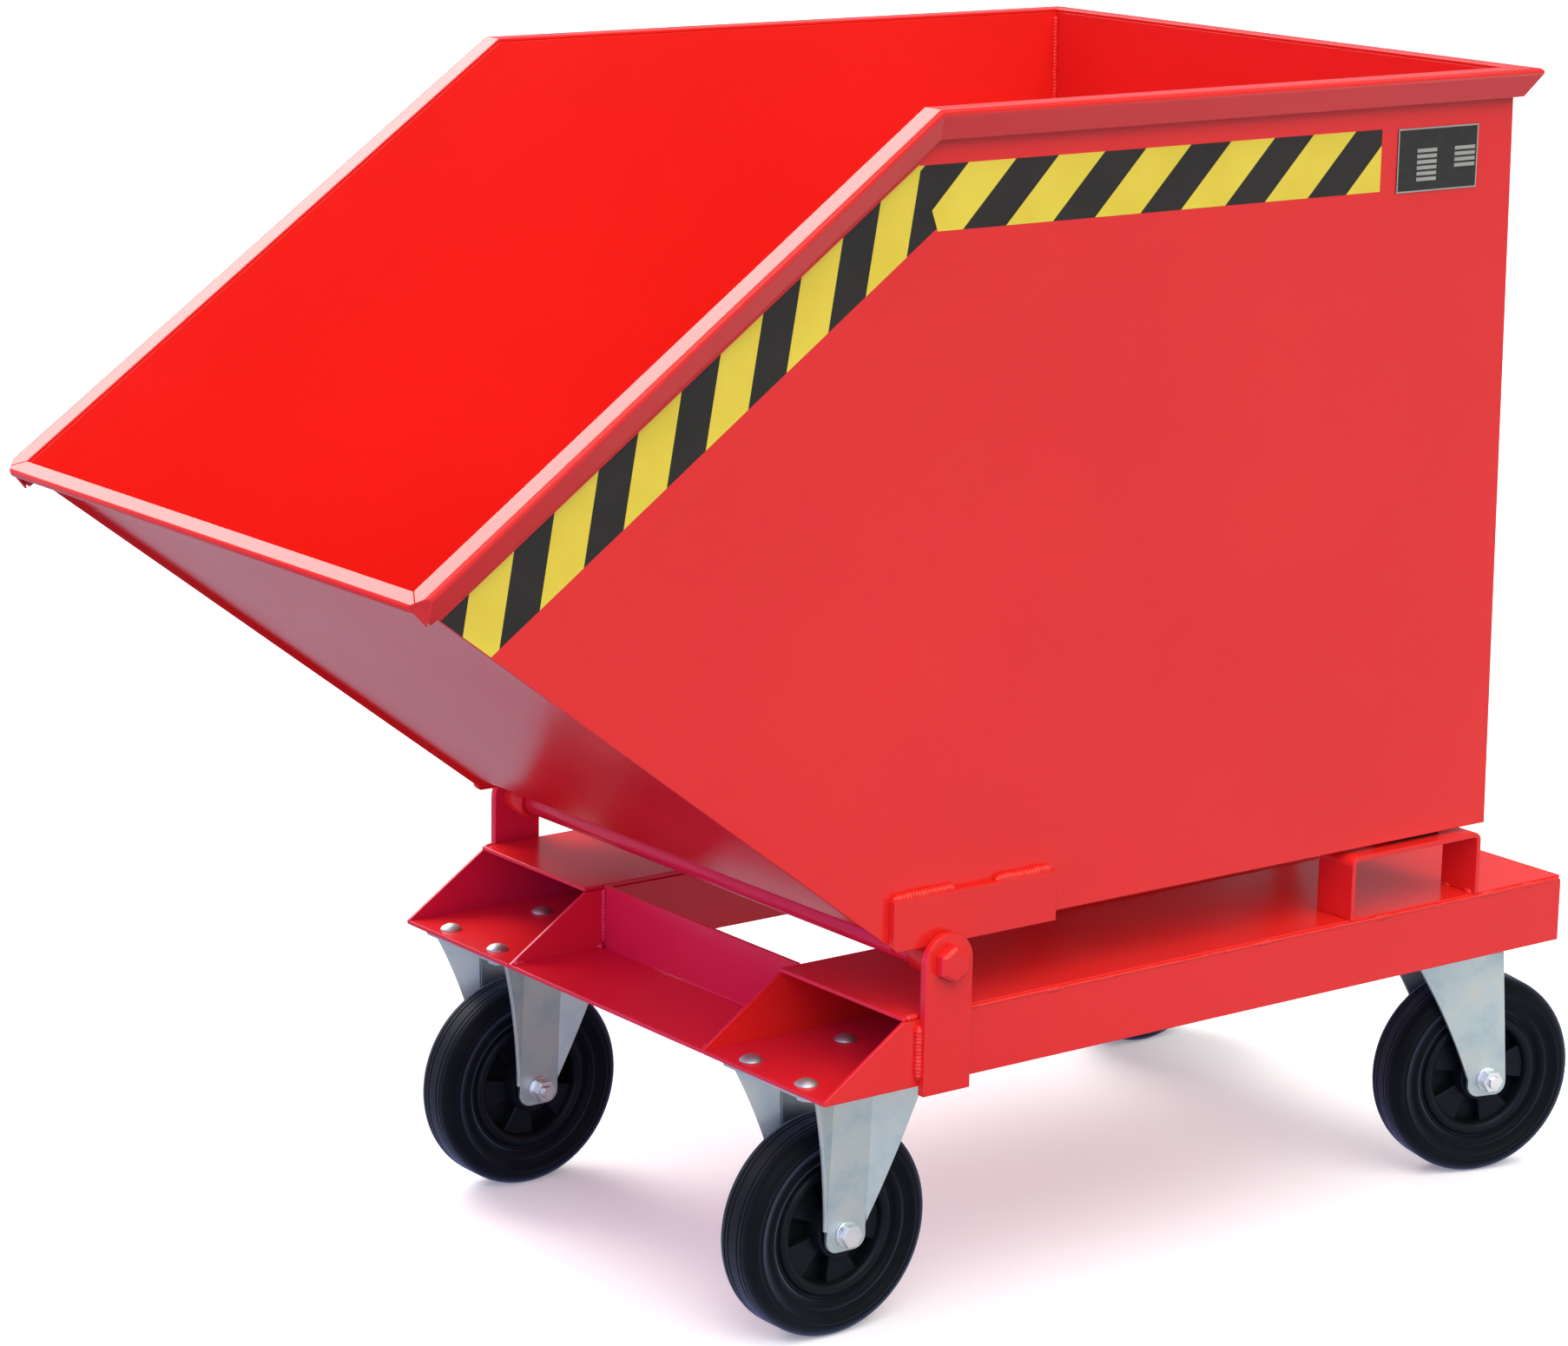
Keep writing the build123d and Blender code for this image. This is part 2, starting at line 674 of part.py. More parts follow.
# Fixed bracket: one pressed sheet, each leg an upright strip whose wings turn out to the plate's corners
leg_outside = fork_inside_width / 2 + caster_sheet
strip_half = bracket_strip_width / 2
bracket_bottom = wheel_radius - bracket_foot_drop
leg_top = caster_height - caster_sheet / 2
leg_splay = bracket_top_spread / 2 - leg_outside
splay_slope = leg_splay / (leg_top - bracket_flare_height)
crease_inset = splay_slope * (bracket_flare_height - bracket_wing_height)
wing_turn = radians(bracket_wing_angle)
wing_mitre = caster_sheet * tan(wing_turn / 2)
wing_edges = ((-1, bracket_front_wing, bracket_front_hollow), (1, bracket_rear_wing, -bracket_rear_swell))
with BuildPart() as fixed_bracket:
    for sign in SIDES.values():
        with BuildSketch(Plane.YZ):
            with BuildLine():
                FilletPolyline(
                    (sign * leg_outside, bracket_bottom),
                    (sign * leg_outside, bracket_flare_height),
                    (sign * (leg_outside + leg_splay), leg_top),
                    radius=bracket_flare_bend,
                )
                offset(amount=caster_sheet, side=Side.LEFT if sign > 0 else Side.RIGHT)
            make_face()
        extrude(amount=strip_half, both=True)
    with BuildSketch(Plane.XZ):
        with Locations((0, bracket_bottom)):
            RectangleRounded(
                bracket_strip_width, caster_height, bracket_foot_corner, align=(Align.CENTER, Align.MIN)
            )
    extrude(amount=plate_length, both=True, mode=Mode.INTERSECT)
    for sign in SIDES.values():
        for way, wing_width, hollow in wing_edges:
            crease_foot = Vector(way * strip_half, sign * (leg_outside - crease_inset), bracket_wing_height)
            crease = Vector(0, sign * splay_slope, 1) * (leg_top - bracket_wing_height)
            wing_way = Vector(way * cos(wing_turn), sign * sin(wing_turn), 0)
            wing_plane = Plane(origin=crease_foot, x_dir=wing_way, z_dir=wing_way.cross(crease) * (way * sign))
            crease_top = wing_plane.to_local_coords(crease_foot + crease)
            wing_corner = crease_top + Vector(wing_width, 0)
            with BuildSketch(wing_plane):
                with BuildLine():
                    ThreePointArc((0, 0), wing_corner / 2 - Vector(hollow, 0), wing_corner)
                    Polyline(wing_corner, crease_top - Vector(wing_mitre, 0), (-wing_mitre, 0), (0, 0))
                make_face()
            extrude(amount=caster_sheet)
    with BuildSketch(Plane.XY.offset(plate_bottom)):
        RectangleRounded(plate_length, bracket_plate_width, plate_corner)
    extrude(amount=caster_sheet)
    with BuildSketch(Plane.XY.offset(plate_bottom)):
        with GridLocations(bolt_pitch_length, bolt_pitch_width, 2, 2):
            Circle(caster_hole)
    extrude(amount=caster_sheet, mode=Mode.SUBTRACT)
    with BuildSketch(Plane.XZ):
        with Locations((0, wheel_radius)):
            Circle(axle_bolt_diameter / 2 + bolt_hole_clearance)
    extrude(amount=plate_width, both=True, mode=Mode.SUBTRACT)

for side in SIDES:
    export_at(fixed_bracket, fixed_places[side], f"fixed_bracket_{side}")

# Swivel plate with the ring that its fork turns against
fork_crown_height = plate_bottom - race_height
race_bottom = fork_crown_height + end_gap
with BuildPart() as swivel_plate:
    with BuildSketch(Plane.XY.offset(plate_bottom)):
        RectangleRounded(plate_length, plate_width, plate_corner)
        with GridLocations(bolt_pitch_length, bolt_pitch_width, 2, 2):
            Circle(caster_hole, mode=Mode.SUBTRACT)
        Circle(kingpin_diameter / 2, mode=Mode.SUBTRACT)
    extrude(amount=caster_sheet)
    with BuildSketch(Plane.XY.offset(race_bottom)):
        Circle(race_diameter / 2)
        Circle(race_bore / 2, mode=Mode.SUBTRACT)
    extrude(amount=plate_bottom - race_bottom)

for side in SIDES:
    export_at(swivel_plate, plate_places[side], f"swivel_plate_{side}")

# Kingpin: riveted into the plate, its foot holding the fork's crown from below
crown_bottom = fork_crown_height - caster_sheet
with BuildPart() as kingpin:
    with BuildSketch(Plane.XY.offset(caster_height)):
        Circle(kingpin_diameter / 2)
    extrude(amount=crown_bottom - end_gap - caster_height)
    with BuildSketch(Plane.XY.offset(crown_bottom - end_gap)):
        Circle(kingpin_foot_diameter / 2)
    extrude(amount=-kingpin_foot_height)

with BuildPart() as swivel_kingpins:
    with Locations(*plate_places.values()):
        add(kingpin.part)
export(swivel_kingpins, "swivel_kingpins")

# Swivel fork: a folded strip over the wheel under a round crown, trailing behind the kingpin
fork_bottom = wheel_radius - fork_foot_drop
fork_foot_front = swivel_trail - fork_foot_width / 2
fork_foot_rear = swivel_trail + fork_foot_width / 2
fork_front_middle = Vector(
    (fork_foot_front - fork_front_edge) / 2 + fork_front_hollow, (wheel_radius + fork_crown_height) / 2
)
with BuildPart() as swivel_fork:
    with BuildSketch(Plane.YZ.offset(-fork_front_edge)):
        with BuildLine():
            FilletPolyline(
                (-leg_outside, fork_bottom),
                (-leg_outside, fork_crown_height),
                (leg_outside, fork_crown_height),
                (leg_outside, fork_bottom),
                radius=fork_bend + caster_sheet,
            )
            offset(amount=caster_sheet, side=Side.RIGHT)
        make_face()
    extrude(amount=fork_front_edge + fork_foot_rear)
    with BuildSketch(Plane.XZ) as fork_outline:
        with BuildLine():
            front_edge = ThreePointArc(
                (fork_foot_front, wheel_radius), fork_front_middle, (-fork_front_edge, fork_crown_height)
            )
            Polyline(
                front_edge @ 1,
                (swivel_trail + fork_rear_edge, fork_crown_height),
                (fork_foot_rear, wheel_radius),
                (fork_foot_rear, fork_bottom),
                (fork_foot_front, fork_bottom),
                front_edge @ 0,
            )
        make_face()
        fillet(fork_outline.vertices().group_by(Axis.Y)[0], radius=fork_foot_corner)
    extrude(amount=plate_width, both=True, mode=Mode.INTERSECT)
    with BuildSketch(Plane.XY.offset(crown_bottom)):
        Circle(fork_crown_diameter / 2)
    extrude(amount=caster_sheet)
    with BuildSketch(Plane.XY.offset(crown_bottom)):
        Circle(kingpin_diameter / 2 + running_clearance)
    extrude(amount=caster_sheet, mode=Mode.SUBTRACT)
    with BuildSketch(Plane.XZ):
        with Locations((swivel_trail, wheel_radius)):
            Circle(axle_bolt_diameter / 2 + bolt_hole_clearance)
    extrude(amount=plate_width, both=True, mode=Mode.SUBTRACT)

for side in SIDES:
    export_at(swivel_fork, swivel_places[side], f"swivel_fork_{side}")

# Axles: flanged bolt and nut clamping a sleeve between the legs. Drawn about the wheel's middle.
fixed_axle = Location((0, 0, wheel_radius))
turned_axle = Location((0, 0, wheel_radius), (0, 0, 180))
trailing_axle = Location((swivel_trail, 0, wheel_radius))
front_axles = {"left": fixed_places["left"] * turned_axle, "right": fixed_places["right"] * fixed_axle}
rear_axles = {side: place * trailing_axle for side, place in swivel_places.items()}
flange_face = leg_outside + axle_washer_thickness
axle_nut_end = flange_face + axle_nut_height

with BuildPart() as axle_bolt:
    with BuildSketch(wall_plane(leg_outside)):
        Circle(axle_washer_diameter / 2)
    extrude(amount=-axle_washer_thickness)
    with BuildSketch(wall_plane(flange_face)):
        RegularPolygon(axle_head_across_flats / 2, 6, major_radius=False)
    extrude(amount=-axle_head_height)
    with BuildSketch(wall_plane(leg_outside)):
        Circle(axle_bolt_diameter / 2)
    extrude(amount=leg_outside + axle_nut_end + axle_thread_end)

with BuildPart() as axle_nut:
    with BuildSketch(wall_plane(-leg_outside)):
        Circle(axle_washer_diameter / 2)
    extrude(amount=axle_washer_thickness)
    with BuildSketch(wall_plane(-flange_face)):
        RegularPolygon(axle_head_across_flats / 2, 6, major_radius=False)
    extrude(amount=axle_nut_height)
    with BuildSketch(Plane.XZ):
        Circle(axle_bolt_diameter / 2)
    extrude(amount=axle_nut_end, mode=Mode.SUBTRACT)

with BuildPart() as axle_sleeve:
    with BuildSketch(Plane.XZ):
        Circle(sleeve_diameter / 2)
        Circle(axle_bolt_diameter / 2 + running_clearance, mode=Mode.SUBTRACT)
    extrude(amount=fork_inside_width / 2, both=True)

for piece, node in ((axle_bolt, "bolt"), (axle_nut, "nut"), (axle_sleeve, "sleeve")):
    with BuildPart() as front_pair:
        with Locations(*front_axles.values()):
            add(piece.part)
    export(front_pair, f"front_axle_{node}s")
    for side in SIDES:
        export_at(piece, rear_axles[side], f"rear_axle_{node}_{side}")

# Tyre: flat tread with round shoulders, and side walls stepped in at the bead
seat_radius = tyre_seat_diameter / 2
bead_radius = tyre_bead_diameter / 2
tyre_half = tyre_width / 2
bead_half = tyre_half - tyre_bead_step
with BuildPart() as tyre:
    with BuildSketch(Plane.YZ) as tyre_section:
        Polygon(
            (-bead_half, seat_radius),
            (bead_half, seat_radius),
            (bead_half, bead_radius),
            (tyre_half, bead_radius + tyre_bead_step),
            (tyre_half, wheel_radius),
            (-tyre_half, wheel_radius),
            (-tyre_half, bead_radius + tyre_bead_step),
            (-bead_half, bead_radius),
            align=None,
        )
        fillet(tyre_section.vertices().group_by(Axis.Y)[-1], radius=tyre_shoulder)
    revolve(axis=Axis.Y)

# Wheel rim: ring, hub and disc, whose blind windows leave a web in the middle
window_half = radians(window_angle / 2)
with BuildSketch() as wheel_window:
    Circle(window_outer_diameter / 2)
    Circle(window_inner_diameter / 2, mode=Mode.SUBTRACT)
    Polygon(
        (0, 0),
        (window_outer_diameter, -window_outer_diameter * tan(window_half)),
        (window_outer_diameter, window_outer_diameter * tan(window_half)),
        align=None,
        mode=Mode.INTERSECT,
    )
    fillet(wheel_window.vertices(), radius=window_corner)

bearing_radius = bearing_diameter / 2
with BuildPart() as wheel_rim:
    with BuildSketch(Plane.YZ):
        with Locations((0, seat_radius)):
            Rectangle(rim_width, rim_ring, align=(Align.CENTER, Align.MAX))
        with Locations((0, bearing_radius)):
            Rectangle(disc_thickness, seat_radius - bearing_radius, align=(Align.CENTER, Align.MIN))
            Rectangle(hub_length, hub_diameter / 2 - bearing_radius, align=(Align.CENTER, Align.MIN))
    revolve(axis=Axis.Y)
    for way in (1, -1):
        with BuildSketch(Plane.XZ.offset(way * web_thickness / 2)):
            with PolarLocations(0, window_count, start_angle=window_turn):
                add(wheel_window.sketch)
        extrude(amount=way * disc_thickness, mode=Mode.SUBTRACT)

# Roller bearing in the hub, turning on the axle sleeve
with BuildPart() as wheel_bearing:
    with BuildSketch(Plane.XZ):
        Circle(bearing_radius)
        Circle(sleeve_diameter / 2 + running_clearance, mode=Mode.SUBTRACT)
    extrude(amount=fork_inside_width / 2 - end_gap, both=True)

for end, axles in (("front", front_axles), ("rear", rear_axles)):
    for side, axle in axles.items():
        export_at(tyre, axle, f"tyre_{end}_{side}")
        export_at(wheel_rim, axle, f"wheel_rim_{end}_{side}")
        export_at(wheel_bearing, axle, f"wheel_bearing_{end}_{side}")
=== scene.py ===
"""Looks of the tipping hopper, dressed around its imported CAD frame. Metres, +Z up, pouring lip towards -X."""
import json
from math import cos, pi, radians, sin, tau

import bmesh
import bpy
from mathutils import Matrix, Vector, noise


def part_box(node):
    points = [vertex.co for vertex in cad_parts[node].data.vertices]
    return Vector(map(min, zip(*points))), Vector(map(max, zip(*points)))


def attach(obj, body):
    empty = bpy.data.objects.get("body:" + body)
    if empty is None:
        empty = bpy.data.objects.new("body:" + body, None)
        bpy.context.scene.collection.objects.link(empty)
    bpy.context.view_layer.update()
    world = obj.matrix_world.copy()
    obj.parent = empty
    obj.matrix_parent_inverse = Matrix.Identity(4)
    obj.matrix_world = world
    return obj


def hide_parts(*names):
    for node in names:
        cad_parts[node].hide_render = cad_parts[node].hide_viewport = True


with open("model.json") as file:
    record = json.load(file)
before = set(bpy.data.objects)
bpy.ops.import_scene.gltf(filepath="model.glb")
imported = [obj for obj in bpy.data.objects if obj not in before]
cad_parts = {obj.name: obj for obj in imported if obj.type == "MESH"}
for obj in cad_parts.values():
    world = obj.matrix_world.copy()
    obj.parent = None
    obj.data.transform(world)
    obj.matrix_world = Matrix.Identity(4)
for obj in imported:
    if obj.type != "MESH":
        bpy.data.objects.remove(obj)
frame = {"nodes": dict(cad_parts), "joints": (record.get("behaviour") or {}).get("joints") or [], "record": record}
nodes = frame["nodes"]
joints = {joint["name"]: joint for joint in frame["joints"]}
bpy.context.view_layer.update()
scene = bpy.context.scene
pivot = Vector(joints["hopper_tip"]["pos_m"])

SIDES = {"left": -1, "right": 1}
MM = 0.001
UP = Vector((0, 0, 1))

# Camera: fitted to the photograph, whose frame is taken as 1806 by 1550 pixels
CAMERA_AZIMUTH = radians(-37.306)
CAMERA_ELEVATION = radians(13.45)
CAMERA_ROLL = radians(1.039)
CAMERA_DISTANCE = 4.22839
CAMERA_TARGET_REACH = 0.07231
CAMERA_TARGET_HEIGHT = 0.53558
PHOTO_WIDTH = 1806
FOCAL_PIXELS = 5284.96
SENSOR_WIDTH = 36.0


class Shader:
    """A principled material and short calls for the nodes that feed it."""

    def __init__(self, name, **values):
        self.material = bpy.data.materials.new(name)
        self.material.use_nodes = True
        self.tree = self.material.node_tree
        self.surface = self.tree.nodes["Principled BSDF"]
        self.place = self.add("ShaderNodeTexCoord").outputs["Object"]
        for socket, value in values.items():
            self.surface.inputs[socket.replace("_", " ")].default_value = value

    def add(self, kind, **values):
        node = self.tree.nodes.new(kind)
        for key, value in values.items():
            setattr(node, key, value)
        return node

    def feed(self, output, socket):
        self.tree.links.new(output, socket)

    def stretched(self, scale):
        """Object coordinates scaled by a vector, for grain that runs one way."""
        mapping = self.add("ShaderNodeMapping")
        mapping.inputs["Scale"].default_value = scale
        self.feed(self.place, mapping.inputs["Vector"])
        return mapping.outputs["Vector"]

    def noise(self, scale, detail, roughness=0.5, place=None):
        node = self.add("ShaderNodeTexNoise")
        node.inputs["Scale"].default_value = scale
        node.inputs["Detail"].default_value = detail
        node.inputs["Roughness"].default_value = roughness
        self.feed(place or self.place, node.inputs["Vector"])
        return node.outputs["Fac"]

    def ramp(self, factor, *stops):
        """Colour ramp through (position, colour) stops."""
        node = self.add("ShaderNodeValToRGB")
        elements = node.color_ramp.elements
        while len(elements) < len(stops):
            elements.new(0.5)
        for element, (position, colour) in zip(elements, stops):
            element.position = position
            element.color = (*colour, 1.0)
        self.feed(factor, node.inputs["Fac"])
        return node.outputs["Color"]

    def span(self, factor, low, high):
        """Map a 0 to 1 factor onto a range of values."""
        node = self.add("ShaderNodeMapRange")
        node.inputs["To Min"].default_value = low
        node.inputs["To Max"].default_value = high
        self.feed(factor, node.inputs["Value"])
        return node.outputs["Result"]

    def mixed(self, first, second, share):
        """Sum of two factors, the second weighted by its share."""
        node = self.add("ShaderNodeMath", operation="MULTIPLY_ADD")
        node.inputs[1].default_value = share
        self.feed(second, node.inputs[0])
        self.feed(first, node.inputs[2])
        return node.outputs["Value"]

    def colour(self, output):
        self.feed(output, self.surface.inputs["Base Color"])

    def roughness(self, output):
        self.feed(output, self.surface.inputs["Roughness"])

    def bump(self, height, distance, strength):
        node = self.add("ShaderNodeBump")
        node.inputs["Distance"].default_value = distance
        node.inputs["Strength"].default_value = strength
        self.feed(height, node.inputs["Height"])
        self.feed(node.outputs["Normal"], self.surface.inputs["Normal"])

    def clouded(self, dark, light, scale, detail, low=0.3, high=0.7):
        """Colour that clouds from dark to light between two levels of a noise."""
        self.colour(self.ramp(self.noise(scale, detail), (low, dark), (high, light)))

    def satin(self, low, high, scale, detail):
        """Roughness that wanders between two values."""
        self.roughness(self.span(self.noise(scale, detail), low, high))

    def grained(self, distance, strength, scale, detail):
        """Fine bumps all over."""
        self.bump(self.noise(scale, detail), distance, strength)


def red_paint():
    """Gloss enamel: slight clouding of the red, waves of the sheet and fine orange peel."""
    shader = Shader("red_paint", Specular_IOR_Level=0.31)
    shader.clouded((0.76, 0.0185, 0.0125), (0.82, 0.0220, 0.0155), scale=3.0, detail=4.0)
    shader.satin(0.17, 0.26, scale=14.0, detail=4.0)
    waves = shader.noise(scale=5.0, detail=2.0)
    orange_peel = shader.noise(scale=420.0, detail=2.0)
    shader.bump(shader.mixed(waves, orange_peel, share=0.02), distance=0.0022, strength=0.5)
    return shader.material


def weld_paint():
    """The same enamel over the rippled beads, a little uneven."""
    shader = Shader("weld_paint", Specular_IOR_Level=0.4)
    shader.clouded((0.76, 0.0180, 0.0110), (0.86, 0.0360, 0.0220), scale=160.0, detail=3.0, high=0.75)
    shader.satin(0.22, 0.38, scale=260.0, detail=3.0)
    shader.grained(0.0002, 0.4, scale=900.0, detail=2.0)
    return shader.material


def zinc():
    """Blue passivated zinc: cloudy grey-blue patches over fine grain."""
    shader = Shader("zinc", Metallic=1.0)
    shader.colour(shader.ramp(
        shader.noise(scale=26.0, detail=5.0, roughness=0.6),
        (0.25, (0.40, 0.53, 0.59)),
        (0.48, (0.52, 0.63, 0.65)),
        (0.72, (0.62, 0.66, 0.62)),
    ))
    shader.satin(0.46, 0.62, scale=60.0, detail=4.0)
    shader.grained(0.0001, 0.3, scale=700.0, detail=2.0)
    return shader.material


def bright_zinc():
    """Fresh zinc of the axle bolts and nuts, smoother and paler than the pressings."""
    shader = Shader("bright_zinc", Metallic=1.0)
    shader.clouded((0.74, 0.82, 0.86), (0.86, 0.90, 0.90), scale=90.0, detail=3.0)
    shader.satin(0.24, 0.36, scale=160.0, detail=3.0)
    return shader.material


def tyre_rubber():
    """Black rubber, dusty in places, with a fine moulded grain."""
    shader = Shader(
        "tyre_rubber",
        Specular_IOR_Level=0.08,
        Specular_Tint=(0.62, 0.80, 0.84, 1.0),
        Sheen_Weight=0.45,
        Sheen_Roughness=0.4,
        Sheen_Tint=(0.60, 0.76, 0.92, 1.0),
    )
    shader.clouded((0.0026, 0.0029, 0.0028), (0.0048, 0.0052, 0.0050), scale=30.0, detail=5.0, high=0.75)
    shader.satin(0.40, 0.55, scale=45.0, detail=4.0)
    shader.grained(0.0001, 0.3, scale=1100.0, detail=2.0)
    return shader.material


def wheel_plastic():
    """Black moulded plastic, satin, with a leathery texture."""
    shader = Shader("wheel_plastic", Specular_IOR_Level=0.17, Specular_Tint=(0.66, 0.84, 1.0, 1.0))
    shader.clouded((0.0036, 0.0046, 0.0052), (0.0058, 0.0072, 0.0080), scale=40.0, detail=3.0)
    shader.satin(0.36, 0.48, scale=80.0, detail=3.0)
    shader.grained(0.00008, 0.3, scale=1500.0, detail=1.0)
    return shader.material


def pad_rubber():
    """Matt black rubber of the rest pads."""
    shader = Shader("pad_rubber", Specular_IOR_Level=0.3)
    shader.clouded((0.010, 0.010, 0.010), (0.020, 0.019, 0.019), scale=60.0, detail=3.0)
    shader.satin(0.60, 0.75, scale=120.0, detail=3.0)
    shader.grained(0.0001, 0.3, scale=1200.0, detail=2.0)
    return shader.material


def bearing_steel():
    """Ground steel with fine turning marks."""
    shader = Shader("bearing_steel", Metallic=1.0)
    marks = shader.noise(scale=1.0, detail=2.0, place=shader.stretched((60.0, 1800.0, 60.0)))
    shader.colour(shader.ramp(marks, (0.3, (0.34, 0.35, 0.36)), (0.7, (0.48, 0.49, 0.50))))
    shader.roughness(shader.span(marks, 0.22, 0.36))
    return shader.material


def plate_black():
    """Anodised black of the rating plate."""
    shader = Shader("plate_black", Specular_IOR_Level=0.25)
    shader.clouded((0.0170, 0.0175, 0.0130), (0.0260, 0.0265, 0.0190), scale=90.0, detail=3.0)
    shader.satin(0.36, 0.46, scale=200.0, detail=3.0)
    return shader.material


def plate_grey():
    """Brushed bare aluminium of the plate's border and blank fields."""
    shader = Shader("plate_grey", Metallic=0.4)
    grain = shader.noise(scale=1.0, detail=2.0, place=shader.stretched((40.0, 40.0, 2500.0)))
    shader.colour(shader.ramp(grain, (0.3, (0.30, 0.31, 0.24)), (0.7, (0.42, 0.43, 0.34))))
    shader.roughness(shader.span(grain, 0.38, 0.5))
    return shader.material


def grip_plastic():
    """Dark moulded grip of the latch."""
    shader = Shader("grip_plastic", Specular_IOR_Level=0.5)
    shader.clouded((0.0120, 0.0120, 0.0130), (0.0200, 0.0200, 0.0210), scale=50.0, detail=3.0)
    shader.satin(0.42, 0.55, scale=120.0, detail=3.0)
    shader.grained(0.0001, 0.35, scale=1300.0, detail=1.0)
    return shader.material


def tape(name, dark, light, gloss):
    """Printed vinyl tape, satin, following small waves of the panel."""
    shader = Shader(name, Specular_IOR_Level=gloss)
    shader.clouded(dark, light, scale=18.0, detail=4.0)
    shader.satin(0.34, 0.46, scale=40.0, detail=3.0)
    shader.grained(0.0002, 0.25, scale=70.0, detail=2.0)
    return shader.material


materials = {
    "red_paint": red_paint(),
    "zinc": zinc(),
    "tyre_rubber": tyre_rubber(),
    "wheel_plastic": wheel_plastic(),
    "pad_rubber": pad_rubber(),
    "bearing_steel": bearing_steel(),
    "plate_black": plate_black(),
    "grip_plastic": grip_plastic(),
}
plate_grey_material = plate_grey()
axle_material = bright_zinc()
weld_material = weld_paint()
tape_yellow = tape("tape_yellow", (0.78, 0.62, 0.032), (0.86, 0.70, 0.047), gloss=0.4)
tape_black = tape("tape_black", (0.012, 0.012, 0.008), (0.020, 0.019, 0.013), gloss=0.25)

# Each CAD node takes its slot's material, and its sharp edges are rounded to catch the light
EDGE_ROUND = {"red_paint": 0.9 * MM, "zinc": 0.6 * MM, "wheel_plastic": 1.2 * MM}
FINE_EDGE = 0.4 * MM
MERGE = 0.002 * MM
FLAT_ANGLE = radians(0.5)
EDGE_STEPS = 2
EDGE_ANGLE = radians(35)


def round_edges(piece, width):
    weld = piece.modifiers.new("weld", "WELD")
    weld.merge_threshold = MERGE
    planar = piece.modifiers.new("planar", "DECIMATE")
    planar.decimate_type = "DISSOLVE"
    planar.angle_limit = FLAT_ANGLE
    bevel = piece.modifiers.new("bevel", "BEVEL")
    bevel.width = width
    bevel.segments = EDGE_STEPS
    bevel.limit_method = "ANGLE"
    bevel.angle_limit = EDGE_ANGLE
    bevel.use_clamp_overlap = False
    bevel.harden_normals = True


for subpart in frame["record"]["subparts"]:
    node = nodes[subpart["node"]]
    slot = subpart["material_slot"]
    node.data.materials.clear()
    axle_part = slot == "zinc" and "axle" in subpart["node"]
    node.data.materials.append(axle_material if axle_part else materials[slot])
    round_edges(node, EDGE_ROUND.get(slot, FINE_EDGE))


def linked(name, data):
    """A new object in the scene."""
    piece = bpy.data.objects.new(name, data)
    scene.collection.objects.link(piece)
    return piece


def mesh_piece(name, mesh_maker, body, slot, *piece_materials):
    """Make an object from a bmesh builder and hang it on a body."""
    build = bmesh.new()
    mesh_maker(build)
    bmesh.ops.recalc_face_normals(build, faces=build.faces)
    mesh = bpy.data.meshes.new(name)
    build.to_mesh(mesh)
    build.free()
    for material in piece_materials:
        mesh.materials.append(material)
    piece = linked(name, mesh)
    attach(piece, body)
    return piece


def prism(build, outline, depth, material=0):
    """Extrude a flat outline of points along a depth vector."""
    lower = [build.verts.new(point) for point in outline]
    upper = [build.verts.new(Vector(point) + depth) for point in outline]
    faces = [build.faces.new(lower), build.faces.new(list(reversed(upper)))]
    for index, vert in enumerate(lower):
        after = (index + 1) % len(lower)
        faces.append(build.faces.new((vert, upper[index], upper[after], lower[after])))
    for face in faces:
        face.material_index = material


def outer_y(node, sign):
    """Y of a node's face away from the cart's middle."""
    low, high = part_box(node)
    return high.y if sign > 0 else low.y


def inner_y(node, sign):
    """Y of a node's face towards the cart's middle."""
    low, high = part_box(node)
    return low.y if sign > 0 else high.y


# Hazard tape on both side panels: a level run under the rim and a run down the slope.
# Its places are X from the tipping axis and Z from the floor, or lengths along the slope from the lip
LIP_X = -0.534
LIP_Z = 0.744
KNEE_X = -0.034
KNEE_Z = 1.094
TAPE_WIDTH = 56 * MM
TAPE_PROUD = 0.25 * MM
TAPE_TOP = 1.046
TAPE_REAR = 0.491
TAPE_KNEE_TOP = -0.040
TAPE_KNEE_BOTTOM = -0.019
SLOPE_DROP = 35 * MM
SLOPE_PAST_KNEE = 1.0
LIP_CUT_TOP = 4 * MM
LIP_CUT_LEAN = 0.33
STRIPE_PITCH = 98.6 * MM
BLACK_STRIPE = 47 * MM
STRIPE_NUMBERS = range(-12, 13)
LEVEL_BLACK_START = 36 * MM
LEVEL_STRIPE_HEIGHT = 1.018
SLOPE_BLACK_START = 123 * MM
YELLOW, BLACK = 0, 1

slope_way = Vector((KNEE_X - LIP_X, KNEE_Z - LIP_Z)).normalized()
slope_down = Vector((slope_way.y, -slope_way.x))
lip_point = Vector((LIP_X, LIP_Z))


def on_slope(along, drop):
    """Point at a length up the slope from the lip and at a drop square to it."""
    return lip_point + slope_way * along + slope_down * drop


def clipped(outline, start, way):
    """Part of a flat outline on the positive side of a line through start, way being its normal."""
    kept = []
    for index, point in enumerate(outline):
        after = outline[(index + 1) % len(outline)]
        here = (point - start).dot(way)
        there = (after - start).dot(way)
        if here >= 0:
            kept.append(point)
        if here * there < 0:
            kept.append(point.lerp(after, here / (here - there)))
    return kept


